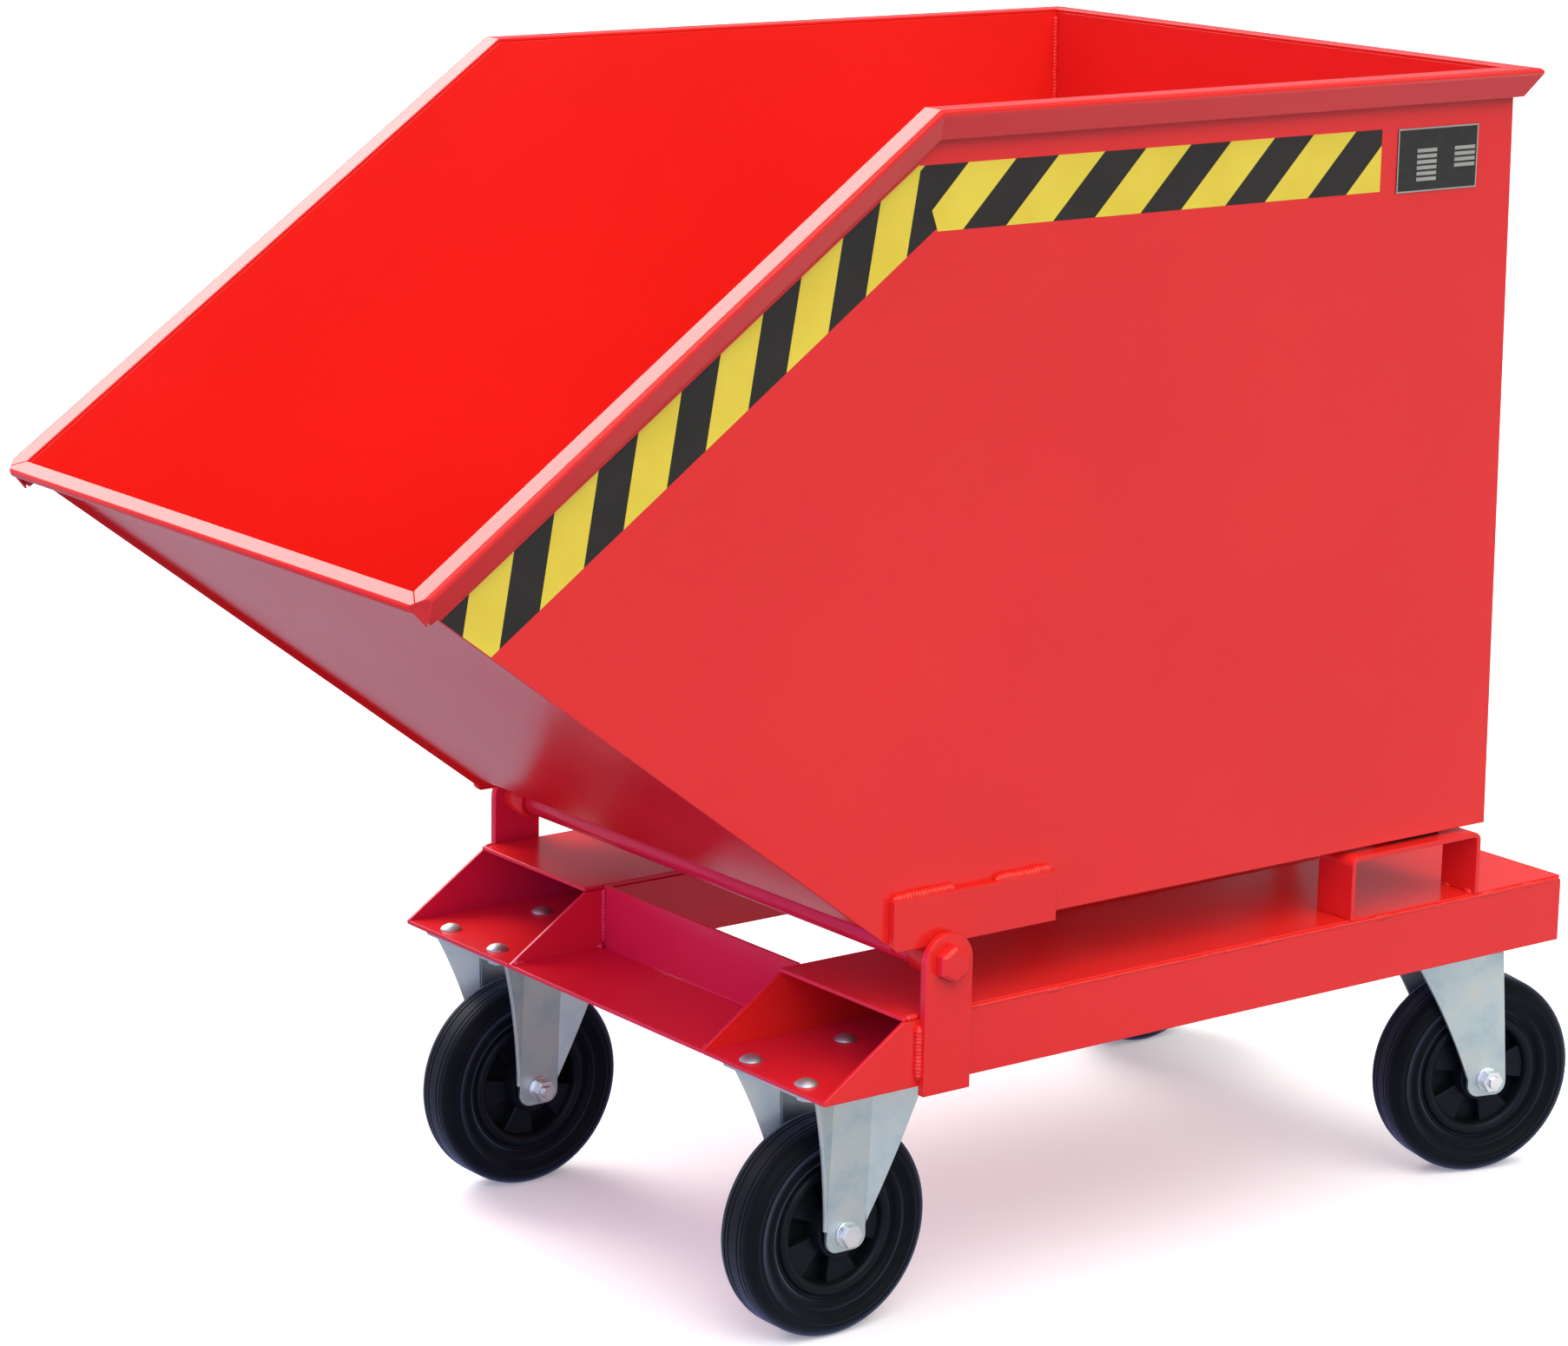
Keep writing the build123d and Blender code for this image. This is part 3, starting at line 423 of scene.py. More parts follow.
knee_joint = Vector((TAPE_KNEE_TOP, TAPE_TOP))
knee_cut = Vector((TAPE_KNEE_BOTTOM - TAPE_KNEE_TOP, -TAPE_WIDTH)).normalized()
level_outline = [
    knee_joint,
    Vector((TAPE_REAR, TAPE_TOP)),
    Vector((TAPE_REAR, TAPE_TOP - TAPE_WIDTH)),
    Vector((TAPE_KNEE_BOTTOM, TAPE_TOP - TAPE_WIDTH)),
]
slope_outline = clipped(
    [
        on_slope(LIP_CUT_TOP, SLOPE_DROP),
        on_slope(SLOPE_PAST_KNEE, SLOPE_DROP),
        on_slope(SLOPE_PAST_KNEE, SLOPE_DROP + TAPE_WIDTH),
        on_slope(LIP_CUT_TOP + LIP_CUT_LEAN * TAPE_WIDTH, SLOPE_DROP + TAPE_WIDTH),
    ],
    knee_joint,
    Vector((knee_cut.y, -knee_cut.x)),
)
level_stripe_way = Vector((1, -1))
slope_stripe_way = slope_way + slope_down
runs = (
    (level_outline, level_stripe_way, LEVEL_BLACK_START - LEVEL_STRIPE_HEIGHT),
    (slope_outline, slope_stripe_way, SLOPE_BLACK_START + lip_point.dot(slope_stripe_way)),
)


def stripes(side_y, outwards):
    def build_stripes(build):
        for outline, way, phase in runs:
            square = way / way.dot(way)
            for count in STRIPE_NUMBERS:
                start = phase + count * STRIPE_PITCH
                for low, high, material in (
                    (start, start + BLACK_STRIPE, BLACK),
                    (start + BLACK_STRIPE, start + STRIPE_PITCH, YELLOW),
                ):
                    band = clipped(outline, square * low, way)
                    band = clipped(band, square * high, -way) if len(band) > 2 else band
                    if len(band) > 2:
                        points = [(pivot.x + p.x, side_y, p.y) for p in band]
                        prism(build, points, Vector((0, outwards * TAPE_PROUD, 0)), material)
    return build_stripes


for side, sign in SIDES.items():
    face_y = outer_y(f"hopper_side_{side}", sign)
    mesh_piece(f"hazard_tape_{side}", stripes(face_y, sign), "hopper", None, tape_yellow, tape_black)

# Wheels: tyres with ringed sidewalls and grooved treads on moulded rims with five blind pockets.
# Their sections are radius and offset from the wheel's middle, in millimetres
TYRE_SIDE = (
    (64, 16.5), (65.8, 16.8), (66.6, 18.4), (68, 20.4), (70, 21.6), (72, 21.8), (73.6, 21.2), (74.8, 20.4),
    (76.5, 20.5), (79, 21.6), (82, 22.9), (83, 24.1), (84.5, 24.8), (86.5, 24.8), (87.5, 24.3), (88, 24.6),
)
SHOULDER_RADIUS = 12
SHOULDER_STEPS = 8
TREAD_RADIUS = 100
TREAD_GROOVES = (11.6, 6.4)
GROOVE_DEPTH = 1.1
GROOVE_WIDTH = 1.7
RIM_SIDE = (
    (15, 26), (22.5, 26), (24.2, 25.4), (25, 23.6), (25, 3), (50.5, 3), (50.5, 14.5), (51.4, 17.6),
    (53, 19.8), (55, 20.8), (57.5, 21), (59.6, 20.6), (61, 19.4), (61.8, 17.6), (62.4, 16.2), (64, 16),
)
SPOKE_REACH = (23.0, 52.0)
SPOKE_HEIGHT = 14.5
SPOKE_CHAMFER = 0.9
SPOKE_STEPS = 8
POCKET_COUNT = 5
POCKET_ANGLE = radians(33)
POCKET_TURN = {
    "front_left": radians(103),
    "front_right": radians(78),
    "rear_left": radians(116),
    "rear_right": radians(60),
}
TURN_STEPS = 144
CREASE_ANGLE = radians(38)


def tyre_half():
    """Radius and offset of half the tyre's section, from the bead to the middle of the tread."""
    half = list(TYRE_SIDE)
    for step in range(1, SHOULDER_STEPS + 1):
        angle = pi / 2 * step / SHOULDER_STEPS
        half.append((
            TREAD_RADIUS - SHOULDER_RADIUS + SHOULDER_RADIUS * sin(angle),
            TYRE_SIDE[-1][1] - SHOULDER_RADIUS + SHOULDER_RADIUS * cos(angle),
        ))
    for middle in TREAD_GROOVES:
        outer = middle + GROOVE_WIDTH / 2
        inner = middle - GROOVE_WIDTH / 2
        floor_radius = TREAD_RADIUS - GROOVE_DEPTH
        half += [(TREAD_RADIUS, outer), (floor_radius, middle), (TREAD_RADIUS, inner)]
    return half


def lathe(build, half, centre, axis):
    """Turn a section, which is the same on both sides of the wheel's middle, round its axis."""
    profile = list(half) + [(radius, -offset) for radius, offset in reversed(half)]
    start = axis.orthogonal().normalized()
    rings = []
    for step in range(TURN_STEPS):
        outwards = Matrix.Rotation(tau * step / TURN_STEPS, 3, axis) @ start
        rings.append([
            build.verts.new(centre + outwards * radius * MM + axis * offset * MM)
            for radius, offset in profile
        ])
    for step, ring in enumerate(rings):
        following = rings[(step + 1) % TURN_STEPS]
        for index, vert in enumerate(ring):
            after = (index + 1) % len(ring)
            face = build.faces.new((vert, ring[after], following[after], following[index]))
            face.smooth = True


def spoke(build, centre, axis, from_angle, to_angle):
    """A wedge between two pockets, chamfered on both faces."""
    ahead = axis.cross(UP)
    inner, outer = SPOKE_REACH
    flank = SPOKE_HEIGHT - SPOKE_CHAMFER
    levels = []
    for offset, inset in (
        (-SPOKE_HEIGHT, SPOKE_CHAMFER),
        (-flank, 0),
        (flank, 0),
        (SPOKE_HEIGHT, SPOKE_CHAMFER),
    ):
        level_points = []
        for radius, shares in ((outer, range(SPOKE_STEPS + 1)), (inner, range(SPOKE_STEPS, -1, -1))):
            low = from_angle + inset / radius
            high = to_angle - inset / radius
            for share in shares:
                angle = low + (high - low) * share / SPOKE_STEPS
                outwards = ahead * cos(angle) + Vector((0, 0, sin(angle)))
                level_points.append(build.verts.new(centre + (outwards * radius + axis * offset) * MM))
        levels.append(level_points)
    for lower, upper in zip(levels, levels[1:]):
        for index, vert in enumerate(lower):
            after = (index + 1) % len(lower)
            build.faces.new((vert, upper[index], upper[after], lower[after]))
    build.faces.new(levels[0])
    build.faces.new(list(reversed(levels[-1])))


def wheel_pieces(wheel):
    """Dress one wheel with its tyre and its rim, which stand in for the plainer CAD nodes."""
    spin = joints[f"wheel_{wheel}_spin"]
    centre = Vector(spin["pos_m"])
    axis = Vector(spin["axis"]).normalized()

    def tyre_mesh(build):
        lathe(build, tyre_half(), centre, axis)

    def rim_mesh(build):
        lathe(build, RIM_SIDE, centre, axis)
        pitch = tau / POCKET_COUNT
        for count in range(POCKET_COUNT):
            pocket = POCKET_TURN[wheel] + count * pitch
            spoke(build, centre, axis, pocket + POCKET_ANGLE / 2, pocket + pitch - POCKET_ANGLE / 2)

    for name, mesh_maker, slot, node in (
        (f"tyre_tread_{wheel}", tyre_mesh, "tyre_rubber", f"tyre_{wheel}"),
        (f"rim_moulding_{wheel}", rim_mesh, "wheel_plastic", f"wheel_rim_{wheel}"),
    ):
        piece = mesh_piece(name, mesh_maker, f"wheel_{wheel}", slot, materials[slot])
        piece.data.set_sharp_from_angle(angle=CREASE_ANGLE)
        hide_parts(node)


for wheel in POCKET_TURN:
    wheel_pieces(wheel)

# Rating plate without words: a bare border and blank fields in two columns of (left, right, rows)
PLATE_PROUD = 0.12 * MM
PLATE_BORDER = 1.4 * MM
FIELD_COLUMNS = ((24.5 * MM, 49.2 * MM, 6), (71.8 * MM, 97.6 * MM, 4))
FIELD_DROP = 19.1 * MM
FIELD_PITCH = 5.2 * MM
FIELD_HEIGHT = 3.25 * MM
plate_low, plate_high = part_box("rating_plate")


def rectangle(left, right, bottom, top):
    """Corners in X and Z."""
    return [(left, bottom), (right, bottom), (right, top), (left, top)]


def plate_fields(build):
    proud = Vector((0, -PLATE_PROUD, 0))
    outer = rectangle(plate_low.x, plate_high.x, plate_low.z, plate_high.z)
    inner = rectangle(
        plate_low.x + PLATE_BORDER, plate_high.x - PLATE_BORDER,
        plate_low.z + PLATE_BORDER, plate_high.z - PLATE_BORDER,
    )
    for index in range(len(outer)):
        after = (index + 1) % len(outer)
        strip = (outer[index], outer[after], inner[after], inner[index])
        prism(build, [(x, plate_low.y, z) for x, z in strip], proud)
    for left, right, rows in FIELD_COLUMNS:
        for row in range(rows):
            top = plate_high.z - FIELD_DROP - row * FIELD_PITCH
            field = rectangle(left, right, top - FIELD_HEIGHT, top)
            prism(build, [(plate_low.x + x, plate_low.y, z) for x, z in field], proud)


mesh_piece("plate_fields", plate_fields, "hopper", None, plate_grey_material)

# Weld beads: rippled, slightly uneven, tapering at their ends
BEAD_SIDES = 10
BEAD_FEWEST_STEPS = 8
BEAD_TIP = 0.25
RIPPLE_PITCH = 3.4 * MM
RIPPLE_STEPS = 5
RIPPLE_DEPTH = 0.13
BEAD_WANDER = 0.18
WANDER_SCALE = 90
WANDER_SEED_STEP = 7.3
WANDER_LAYER = 0.5
BEAD_SWELL = 0.12
SWELL_SCALE = 160
SWELL_SEED_STEP = 3.1
SWELL_LAYER = 2.0
NOISE_SEED = 1

# Noise vectors start from the clock unless a seed is set, and the beads have to be the same in each run
noise.seed_set(NOISE_SEED)


def bead(build, start, end, radius, seed):
    """A bead from start to end, its radius rippling along it."""
    start = Vector(start)
    end = Vector(end)
    way = end - start
    length = way.length
    way.normalize()
    across = way.orthogonal().normalized()
    over = way.cross(across)
    count = max(BEAD_FEWEST_STEPS, round(length / RIPPLE_PITCH * RIPPLE_STEPS))
    rings = []
    for step in range(count + 1):
        along = step / count
        near_end = min(along, 1 - along) * length / radius
        taper = min(1.0, BEAD_TIP + (1 - BEAD_TIP) * near_end)
        phase = (along * length / RIPPLE_PITCH) % 1
        ripple = 1 + RIPPLE_DEPTH * (1 - 2 * phase)
        wander_place = Vector((along * length * WANDER_SCALE, seed * WANDER_SEED_STEP, WANDER_LAYER))
        drift = noise.noise_vector(wander_place) * radius * BEAD_WANDER
        swell_place = Vector((along * length * SWELL_SCALE, seed * SWELL_SEED_STEP, SWELL_LAYER))
        swell = 1 + BEAD_SWELL * noise.noise(swell_place)
        size = radius * taper * ripple * swell
        centre = start + way * along * length + drift - way * drift.dot(way)
        rings.append([
            build.verts.new(centre + (across * cos(angle) + over * sin(angle)) * size)
            for angle in (tau * k / BEAD_SIDES for k in range(BEAD_SIDES))
        ])
    for first, second in zip(rings, rings[1:]):
        for k in range(BEAD_SIDES):
            after = (k + 1) % BEAD_SIDES
            build.faces.new((first[k], first[after], second[after], second[k])).smooth = True
    build.faces.new(list(reversed(rings[0])))
    build.faces.new(rings[-1])


def weld_piece(name, body, beads):
    """One piece from a list of (start, end, radius) beads."""
    def build_beads(build):
        for index, (start, end, radius) in enumerate(beads):
            bead(build, start, end, radius, index + len(name))
    return mesh_piece(name, build_beads, body, "red_paint", weld_material)


def level(from_x, to_x, y, z, radius):
    """A bead along X."""
    return (from_x, y, z), (to_x, y, z), radius


def crosswise(x, from_y, to_y, z, radius):
    """A bead along Y."""
    return (x, from_y, z), (x, to_y, z), radius


def upright(x, y, from_z, to_z, radius):
    """A bead along Z."""
    return (x, y, from_z), (x, y, to_z), radius


BAR_STITCHES = ((2 * MM, 71 * MM), (-68 * MM, -2 * MM))
BAR_STITCH_INSET = 2.6 * MM
BAR_STITCH_LIFT = 0.6 * MM
BAR_STITCH_RADIUS = 4.6 * MM
HEEL_REACH = 660 * MM
RIM_REACH = 646 * MM
CORNER_INSET = 1 * MM
CORNER_FOOT = 12 * MM
CORNER_HEAD = 4 * MM
CORNER_RADIUS = 2.6 * MM
EAR_FILLET_INSET = 0.8 * MM
EAR_FILLET_FOOT = 14 * MM
EAR_FILLET_HEAD = 5 * MM
EAR_FILLET_RADIUS = 4.2 * MM
EAR_DAB_START = 3 * MM
EAR_DAB_DROP = 1.5 * MM
EAR_DAB_RADIUS = 2.6 * MM
SEAM_PROUD = 0.9 * MM
SEAM_LIFT = 0.7 * MM
SEAM_START = 1 * MM
SEAM_END = 2 * MM
SEAM_RADIUS = 1.7 * MM
SEAM_STITCHES = (
    (118 * MM, 16 * MM), (372 * MM, 18 * MM), (520 * MM, 20 * MM), (662 * MM, 16 * MM), (716 * MM, 14 * MM),
)
SEAM_STITCH_RADIUS = 2.5 * MM
INNER_SEAM_START = 100 * MM
INNER_SEAM_INSET = 0.4 * MM
INNER_SEAM_RADIUS = 2.1 * MM
SPOT_OUTER_INSET = 9 * MM
SPOT_INNER_INSET = 8 * MM
SPOT_END_INSET = 6 * MM
SPOT_LIFT = 0.6 * MM
SPOT_HALF = 5 * MM
SPOT_RADIUS = 2.8 * MM
CHEEK_INSET = 0.8 * MM
WEB_INSET = 4.8 * MM
WEB_FOOT = 9 * MM
WEB_HEAD = 3 * MM
WEB_RADIUS = 2.4 * MM
WEB_TOE_LENGTH = 8 * MM
WEB_TOE_LIFT = 6 * MM
WEB_TOE_RADIUS = 3.4 * MM
WEB_FRONT = (3 * MM, 16 * MM)
WEB_FRONT_LIFT = 4.6 * MM
WEB_FRONT_RADIUS = 2.6 * MM
hopper_welds = []
chassis_welds = []
web_low, web_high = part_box("cross_member_front")
wrapper_low, wrapper_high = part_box("hopper_wrapper")
for side, sign in SIDES.items():
    # Stitches on top of the pivot bar, at both of its ends
    bar_low, bar_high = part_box(f"pivot_bar_{side}")
    bar_y = inner_y(f"pivot_bar_{side}", sign) + sign * BAR_STITCH_INSET
    bar_z = bar_high.z + BAR_STITCH_LIFT
    for stitch_from, stitch_to in BAR_STITCHES:
        bar_end = bar_low.x if stitch_from > 0 else bar_high.x
        hopper_welds.append(level(
            bar_end + stitch_from, bar_end + stitch_to, bar_y, bar_z, BAR_STITCH_RADIUS
        ))
    # Seam up the rear corner, inside
    corner_y = inner_y(f"hopper_side_{side}", sign) - sign * CORNER_INSET
    hopper_welds.append((
        (pivot.x + HEEL_REACH, corner_y, wrapper_low.z + CORNER_FOOT),
        (pivot.x + RIM_REACH, corner_y, wrapper_high.z - CORNER_HEAD),
        CORNER_RADIUS,
    ))
    # Fillet down the ear's front edge, and a dab from the pocket's front corner to the ear
    ear_low, ear_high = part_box(f"ear_{side}")
    lid_low, lid_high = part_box(f"pocket_top_{side}")
    ear_x = ear_low.x - EAR_FILLET_INSET
    ear_y = inner_y(f"ear_{side}", sign) + sign * EAR_FILLET_INSET
    lid_y = outer_y(f"pocket_top_{side}", sign)
    chassis_welds.append(upright(
        ear_x, ear_y, ear_low.z + EAR_FILLET_FOOT, lid_low.z - EAR_FILLET_HEAD, EAR_FILLET_RADIUS
    ))
    chassis_welds.append(level(
        lid_low.x + EAR_DAB_START, ear_x, lid_y, lid_high.z - EAR_DAB_DROP, EAR_DAB_RADIUS
    ))
    # Seam along the outer edge of the pocket's top, with stronger stitches
    seam = (lid_y + sign * SEAM_PROUD, lid_low.z + SEAM_LIFT)
    seam_end = lid_high.x - SEAM_END
    chassis_welds.append(level(ear_high.x + SEAM_START, seam_end, *seam, SEAM_RADIUS))
    for reach, length in SEAM_STITCHES:
        stitch_x = pivot.x + reach
        chassis_welds.append(level(stitch_x, stitch_x + length, *seam, SEAM_STITCH_RADIUS))
    # Seam along the inner edge of the pocket's top, behind the pivot bar
    inner_seam = (
        inner_y(f"pocket_top_{side}", sign) + sign * INNER_SEAM_INSET,
        lid_high.z - INNER_SEAM_INSET,
    )
    chassis_welds.append(level(pivot.x + INNER_SEAM_START, seam_end, *inner_seam, INNER_SEAM_RADIUS))
    # Spots at the feet of the rear support
    bridge_low, bridge_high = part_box(f"bridge_{side}")
    bridge_outer = outer_y(f"bridge_{side}", sign) - sign * SPOT_OUTER_INSET
    bridge_inner = inner_y(f"bridge_{side}", sign) + sign * SPOT_INNER_INSET
    spot_z = lid_high.z + SPOT_LIFT
    for spot_x in (bridge_low.x + SPOT_END_INSET, bridge_high.x - SPOT_END_INSET):
        for spot_y in (bridge_outer, bridge_inner):
            chassis_welds.append(crosswise(
                spot_x, spot_y - SPOT_HALF, spot_y + SPOT_HALF, spot_z, SPOT_RADIUS
            ))
    # Corner of the front cross member against the pocket's inner cheek
    cheek_y = outer_y("cross_member_front", sign) - sign * CHEEK_INSET
    web_x = web_high.x - WEB_INSET
    chassis_welds.append(upright(
        web_x, cheek_y, web_low.z + WEB_FOOT, web_high.z - WEB_HEAD, WEB_RADIUS
    ))
    chassis_welds.append(level(
        web_x - WEB_TOE_LENGTH, web_x, cheek_y, web_low.z + WEB_TOE_LIFT, WEB_TOE_RADIUS
    ))
    front_from, front_to = (web_low.x + reach for reach in WEB_FRONT)
    chassis_welds.append(level(
        front_from, front_to, cheek_y, web_low.z + WEB_FRONT_LIFT, WEB_FRONT_RADIUS
    ))

weld_piece("hopper_welds", "hopper", hopper_welds)
chassis_beads = weld_piece("chassis_welds", "chassis", chassis_welds)

# Small facets close the rim's hollow at the cut corners of the pouring lip.
# A facet's corners are lengths up the slope and drops below the rim's top, in millimetres
RIM_OVERHANG = 25 * MM
LIP_OVERHANG = 17 * MM
LIP_CORNER_CUT = 16 * MM
FACET_INSET = 0.4 * MM
FACET_DEPTH = 1.5 * MM
FACET = ((1.0, 2.6), (15.0, 2.6), (4.2, 25.0), (2.2, 8.0))


def corner_facets(build):
    for side, sign in SIDES.items():
        corner_y = inner_y(f"hopper_side_{side}", sign) + sign * (RIM_OVERHANG - LIP_CORNER_CUT)
        outline = []
        for along, drop in FACET:
            place = on_slope(along * MM - LIP_OVERHANG + FACET_INSET, drop * MM)
            outline.append((pivot.x + place.x, corner_y + sign * (along * MM - FACET_INSET), place.y))
        inwards = slope_way * FACET_DEPTH
        prism(build, outline, Vector((inwards.x, -sign * FACET_DEPTH, inwards.y)))


mesh_piece("lip_corner_facets", corner_facets, "hopper", "red_paint", materials["red_paint"])

# Floor and backdrop
FLOOR_SIZE = 140.0
FLOOR_GLOW = 0.22
FADE_REACH = 0.6
BACKDROP_REACH = 60.0
BACKDROP_SIDES = 64
WHITE = (1.0, 1.0, 1.0)


def paper(name, dark, light):
    """Studio paper, matt, with a faint glow that keeps the shadows pale."""
    shader = Shader(
        name,
        Specular_IOR_Level=0.2,
        Emission_Color=(*WHITE, 1.0),
        Emission_Strength=FLOOR_GLOW,
    )
    shader.clouded(dark, light, scale=1.5, detail=3.0)
    shader.satin(0.75, 0.9, scale=30.0, detail=3.0)
    return shader.material


def glowing_paper(name, dark, light):
    """Studio paper lit evenly from behind."""
    shader = Shader(name, Specular_IOR_Level=0.0, Emission_Strength=1.0)
    tint = shader.ramp(shader.noise(scale=0.01, detail=3.0), (0.3, dark), (0.7, light))
    shader.feed(tint, shader.surface.inputs["Emission Color"])
    return shader.material


def paper_painted_with_shade(name, near, far):
    """Studio paper painted darker from the lit side of the object to the other: painted shade for the object's
    shadow on the floor.
    """
    shader = Shader(name, Specular_IOR_Level=0.2)
    across = shader.add("ShaderNodeSeparateXYZ")
    shader.feed(shader.place, across.inputs["Vector"])
    fade = shader.add("ShaderNodeMapRange")
    fade.inputs["From Min"].default_value = -FADE_REACH
    fade.inputs["From Max"].default_value = FADE_REACH
    shader.feed(across.outputs["Y"], fade.inputs["Value"])
    # Painted shade: the tone falls from the near colour to the far colour across Y
    shader.colour(shader.ramp(fade.outputs["Result"], (0.0, near), (1.0, far)))
    shader.satin(0.75, 0.9, scale=30.0, detail=3.0)
    return shader.material


def floor_plane(name, material):
    """A wide floor that lets the light from below through to the object."""
    half = FLOOR_SIZE / 2
    mesh = bpy.data.meshes.new(name)
    mesh.from_pydata(
        [(-half, -half, 0), (half, -half, 0), (half, half, 0), (-half, half, 0)], [], [(0, 1, 2, 3)]
    )
    mesh.materials.append(material)
    plane = linked(name, mesh)
    plane.visible_diffuse = False
    plane.visible_shadow = False
    return plane


# The pale floor is what the camera sees, and a greyer one, with painted shade on the far side, is what the gloss
# mirrors
floor = floor_plane("floor", paper("floor_paper", (0.94, 0.94, 0.945), (0.96, 0.96, 0.965)))
floor.visible_glossy = False
painted_shade_paper = paper_painted_with_shade("painted_shade_paper", (0.66, 0.66, 0.66), (0.27, 0.265, 0.33))
mirrored_floor = floor_plane("mirrored_floor", painted_shade_paper)
mirrored_floor.visible_camera = False

# A pale wall far off stands behind the floor in low views
wall = bmesh.new()
bmesh.ops.create_cone(
    wall,
    segments=BACKDROP_SIDES,
    radius1=BACKDROP_REACH,
    radius2=BACKDROP_REACH,
    depth=2 * BACKDROP_REACH,
)
backdrop_mesh = bpy.data.meshes.new("backdrop")
wall.to_mesh(backdrop_mesh)
wall.free()
backdrop_mesh.materials.append(glowing_paper("backdrop_paper", (0.99, 0.99, 0.995), WHITE))
backdrop = linked("backdrop", backdrop_mesh)
for sense in ("visible_diffuse", "visible_glossy", "visible_transmission", "visible_shadow"):
    setattr(backdrop, sense, False)

# Light: a sky that brightens towards one way, with soft patches, a broad sun and a small cool lamp
SKY_WAY = Vector((-0.20, -0.45, 0.85)).normalized()
SKY_STRENGTH = 0.95
SKY_STOPS = (
    (0.0, (0.34, 0.33, 0.40)),
    (0.45, (0.34, 0.335, 0.38)),
    (0.56, (0.40, 0.40, 0.42)),
    (0.75, (0.60, 0.605, 0.60)),
    (1.0, (0.86, 0.865, 0.83)),
)
BACK_LIGHT_WAY = Vector((0.0, 0.76, 0.65)).normalized()
BACK_LIGHT_STRENGTH = 7.0
BACK_LIGHT_COLOUR = (1.0, 0.95, 0.92, 1.0)
BACK_LIGHT_EDGE = cos(radians(30))
BACK_LIGHT_CORE = cos(radians(8))
FRONT_LIGHT_WAY = Vector((-0.98, -0.10, 0.05)).normalized()
FRONT_LIGHT_STRENGTH = 0.45
FRONT_LIGHT_COLOUR = (0.9, 0.55, 2.4, 1.0)
FRONT_LIGHT_EDGE = cos(radians(60))
FRONT_LIGHT_CORE = cos(radians(15))
FLOOR_LIGHT_WAY = Vector((0, 0, -1))
FLOOR_LIGHT_STRENGTH = 0.55
FLOOR_LIGHT_COLOUR = (0.0, 0.0, 1.0, 1.0)
FLOOR_LIGHT_EDGE = 0.0
FLOOR_LIGHT_CORE = 0.2
SUN_WAY = Vector((0.15, 0.60, -0.75))
SUN_STRENGTH = 2.0
SUN_SPREAD = radians(60)
SUN_COLOUR = (1.0, 0.98, 0.93)
FILL_LIGHT_POWER = 12.0
FILL_LIGHT_COLOUR = (0.0, 0.0, 1.0)
FILL_LIGHT_SIZE = 0.45
FILL_LIGHT_PLACE = Vector((-0.60, -0.06, 0.44))
FILL_LIGHT_AIM = Vector((-0.08, 0.0, 0.27))
world = bpy.data.worlds.new("studio")
world.use_nodes = True
sky = world.node_tree
sky_place = sky.nodes.new("ShaderNodeTexCoord")


def nearness(way, low, high):
    """How near a direction of the sky is to a way, 0 at one cosine and 1 at the other."""
    facing = sky.nodes.new("ShaderNodeVectorMath")
    facing.operation = "DOT_PRODUCT"
    facing.inputs[1].default_value = way
    sky.links.new(sky_place.outputs["Generated"], facing.inputs[0])
    share = sky.nodes.new("ShaderNodeMapRange")
    share.inputs["From Min"].default_value = low
    share.inputs["From Max"].default_value = high
    sky.links.new(facing.outputs["Value"], share.inputs["Value"])
    return share


def lighten(way, low, high, strength, colour):
    """Add a soft patch of light to the sky."""
    patch = sky.nodes.new("ShaderNodeBackground")
    patch.inputs["Color"].default_value = colour
    share = nearness(way, low, high)
    share.inputs["To Max"].default_value = strength
    sky.links.new(share.outputs["Result"], patch.inputs["Strength"])
    both = sky.nodes.new("ShaderNodeAddShader")
    surface = sky.nodes["World Output"].inputs["Surface"]
    sky.links.new(surface.links[0].from_socket, both.inputs[0])
    sky.links.new(patch.outputs["Background"], both.inputs[1])
    sky.links.new(both.outputs["Shader"], surface)


glow = sky.nodes.new("ShaderNodeValToRGB")
while len(glow.color_ramp.elements) < len(SKY_STOPS):
    glow.color_ramp.elements.new(0.5)
for element, (position, colour) in zip(glow.color_ramp.elements, SKY_STOPS):
    element.position = position
    element.color = (*colour, 1.0)
sky.links.new(nearness(SKY_WAY, -1.0, 1.0).outputs["Result"], glow.inputs["Fac"])
sky.links.new(glow.outputs["Color"], sky.nodes["Background"].inputs["Color"])
sky.nodes["Background"].inputs["Strength"].default_value = SKY_STRENGTH

# A light behind draws the edges of the rim, and cool ones in front and below turn the shaded reds to magenta
lighten(BACK_LIGHT_WAY, BACK_LIGHT_EDGE, BACK_LIGHT_CORE, BACK_LIGHT_STRENGTH, BACK_LIGHT_COLOUR)
lighten(FRONT_LIGHT_WAY, FRONT_LIGHT_EDGE, FRONT_LIGHT_CORE, FRONT_LIGHT_STRENGTH, FRONT_LIGHT_COLOUR)
lighten(FLOOR_LIGHT_WAY, FLOOR_LIGHT_EDGE, FLOOR_LIGHT_CORE, FLOOR_LIGHT_STRENGTH, FLOOR_LIGHT_COLOUR)
scene.world = world

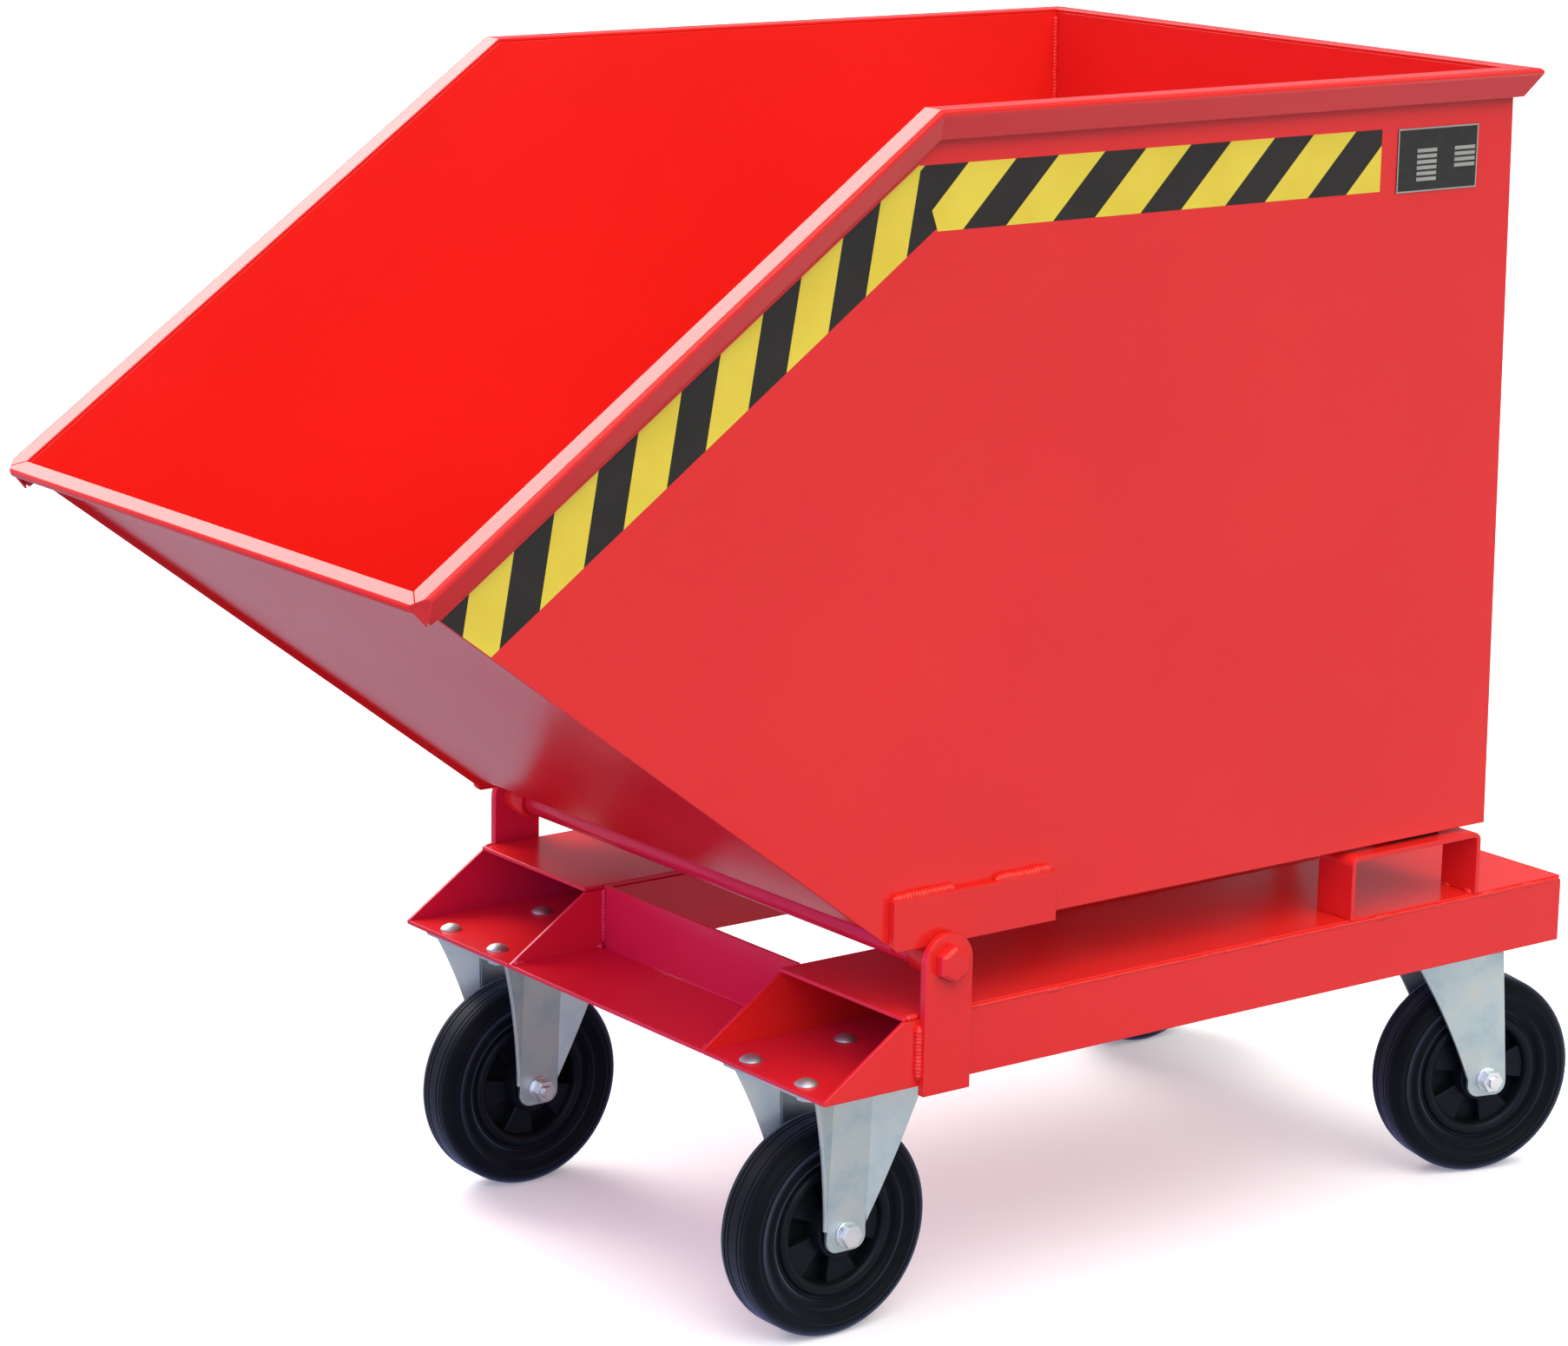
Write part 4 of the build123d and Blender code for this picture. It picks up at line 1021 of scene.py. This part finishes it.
sun = bpy.data.lights.new("broad_light", "SUN")
sun.energy = SUN_STRENGTH
sun.angle = SUN_SPREAD
sun.color = SUN_COLOUR
sun_lamp = linked("broad_light", sun)
sun_lamp.rotation_euler = SUN_WAY.to_track_quat("-Z", "Y").to_euler()

# The cool lamp, below the pouring lip, reaches the shaded front of the chassis and nothing else
fill = bpy.data.lights.new("cool_fill", "AREA")
fill.energy = FILL_LIGHT_POWER
fill.color = FILL_LIGHT_COLOUR
fill.size = FILL_LIGHT_SIZE
fill_lamp = linked("cool_fill", fill)
fill_lamp.location = FILL_LIGHT_PLACE + Vector((pivot.x, 0.0, 0.0))
fill_lamp.rotation_euler = (FILL_LIGHT_AIM - FILL_LIGHT_PLACE).to_track_quat("-Z", "Y").to_euler()
fill_lamp.visible_camera = False
fill_lamp.visible_glossy = False
filled = bpy.data.collections.new("filled")
filled.objects.link(chassis_beads)
chassis_nodes = frame["record"]["behaviour"]["bodies"]["chassis"]
for subpart in frame["record"]["subparts"]:
    if subpart["node"] in chassis_nodes and subpart["material_slot"] == "red_paint":
        filled.objects.link(nodes[subpart["node"]])
fill_lamp.light_linking.receiver_collection = filled

back = Vector((
    sin(CAMERA_AZIMUTH) * cos(CAMERA_ELEVATION),
    -cos(CAMERA_AZIMUTH) * cos(CAMERA_ELEVATION),
    sin(CAMERA_ELEVATION),
))
right = (-back).cross(UP).normalized()
up = right.cross(-back)
rolled_right = right * cos(CAMERA_ROLL) + up * sin(CAMERA_ROLL)
rolled_up = up * cos(CAMERA_ROLL) - right * sin(CAMERA_ROLL)
lens = bpy.data.cameras.new("camera")
lens.sensor_width = SENSOR_WIDTH
lens.lens = FOCAL_PIXELS * SENSOR_WIDTH / PHOTO_WIDTH
camera = linked("camera", lens)
pose = Matrix((rolled_right, rolled_up, back)).transposed().to_4x4()
target = Vector((pivot.x + CAMERA_TARGET_REACH, 0.0, CAMERA_TARGET_HEIGHT))
pose.translation = target + back * CAMERA_DISTANCE
camera.matrix_world = pose
scene.camera = camera
scene.view_settings.view_transform = "Standard"

bpy.context.view_layer.update()
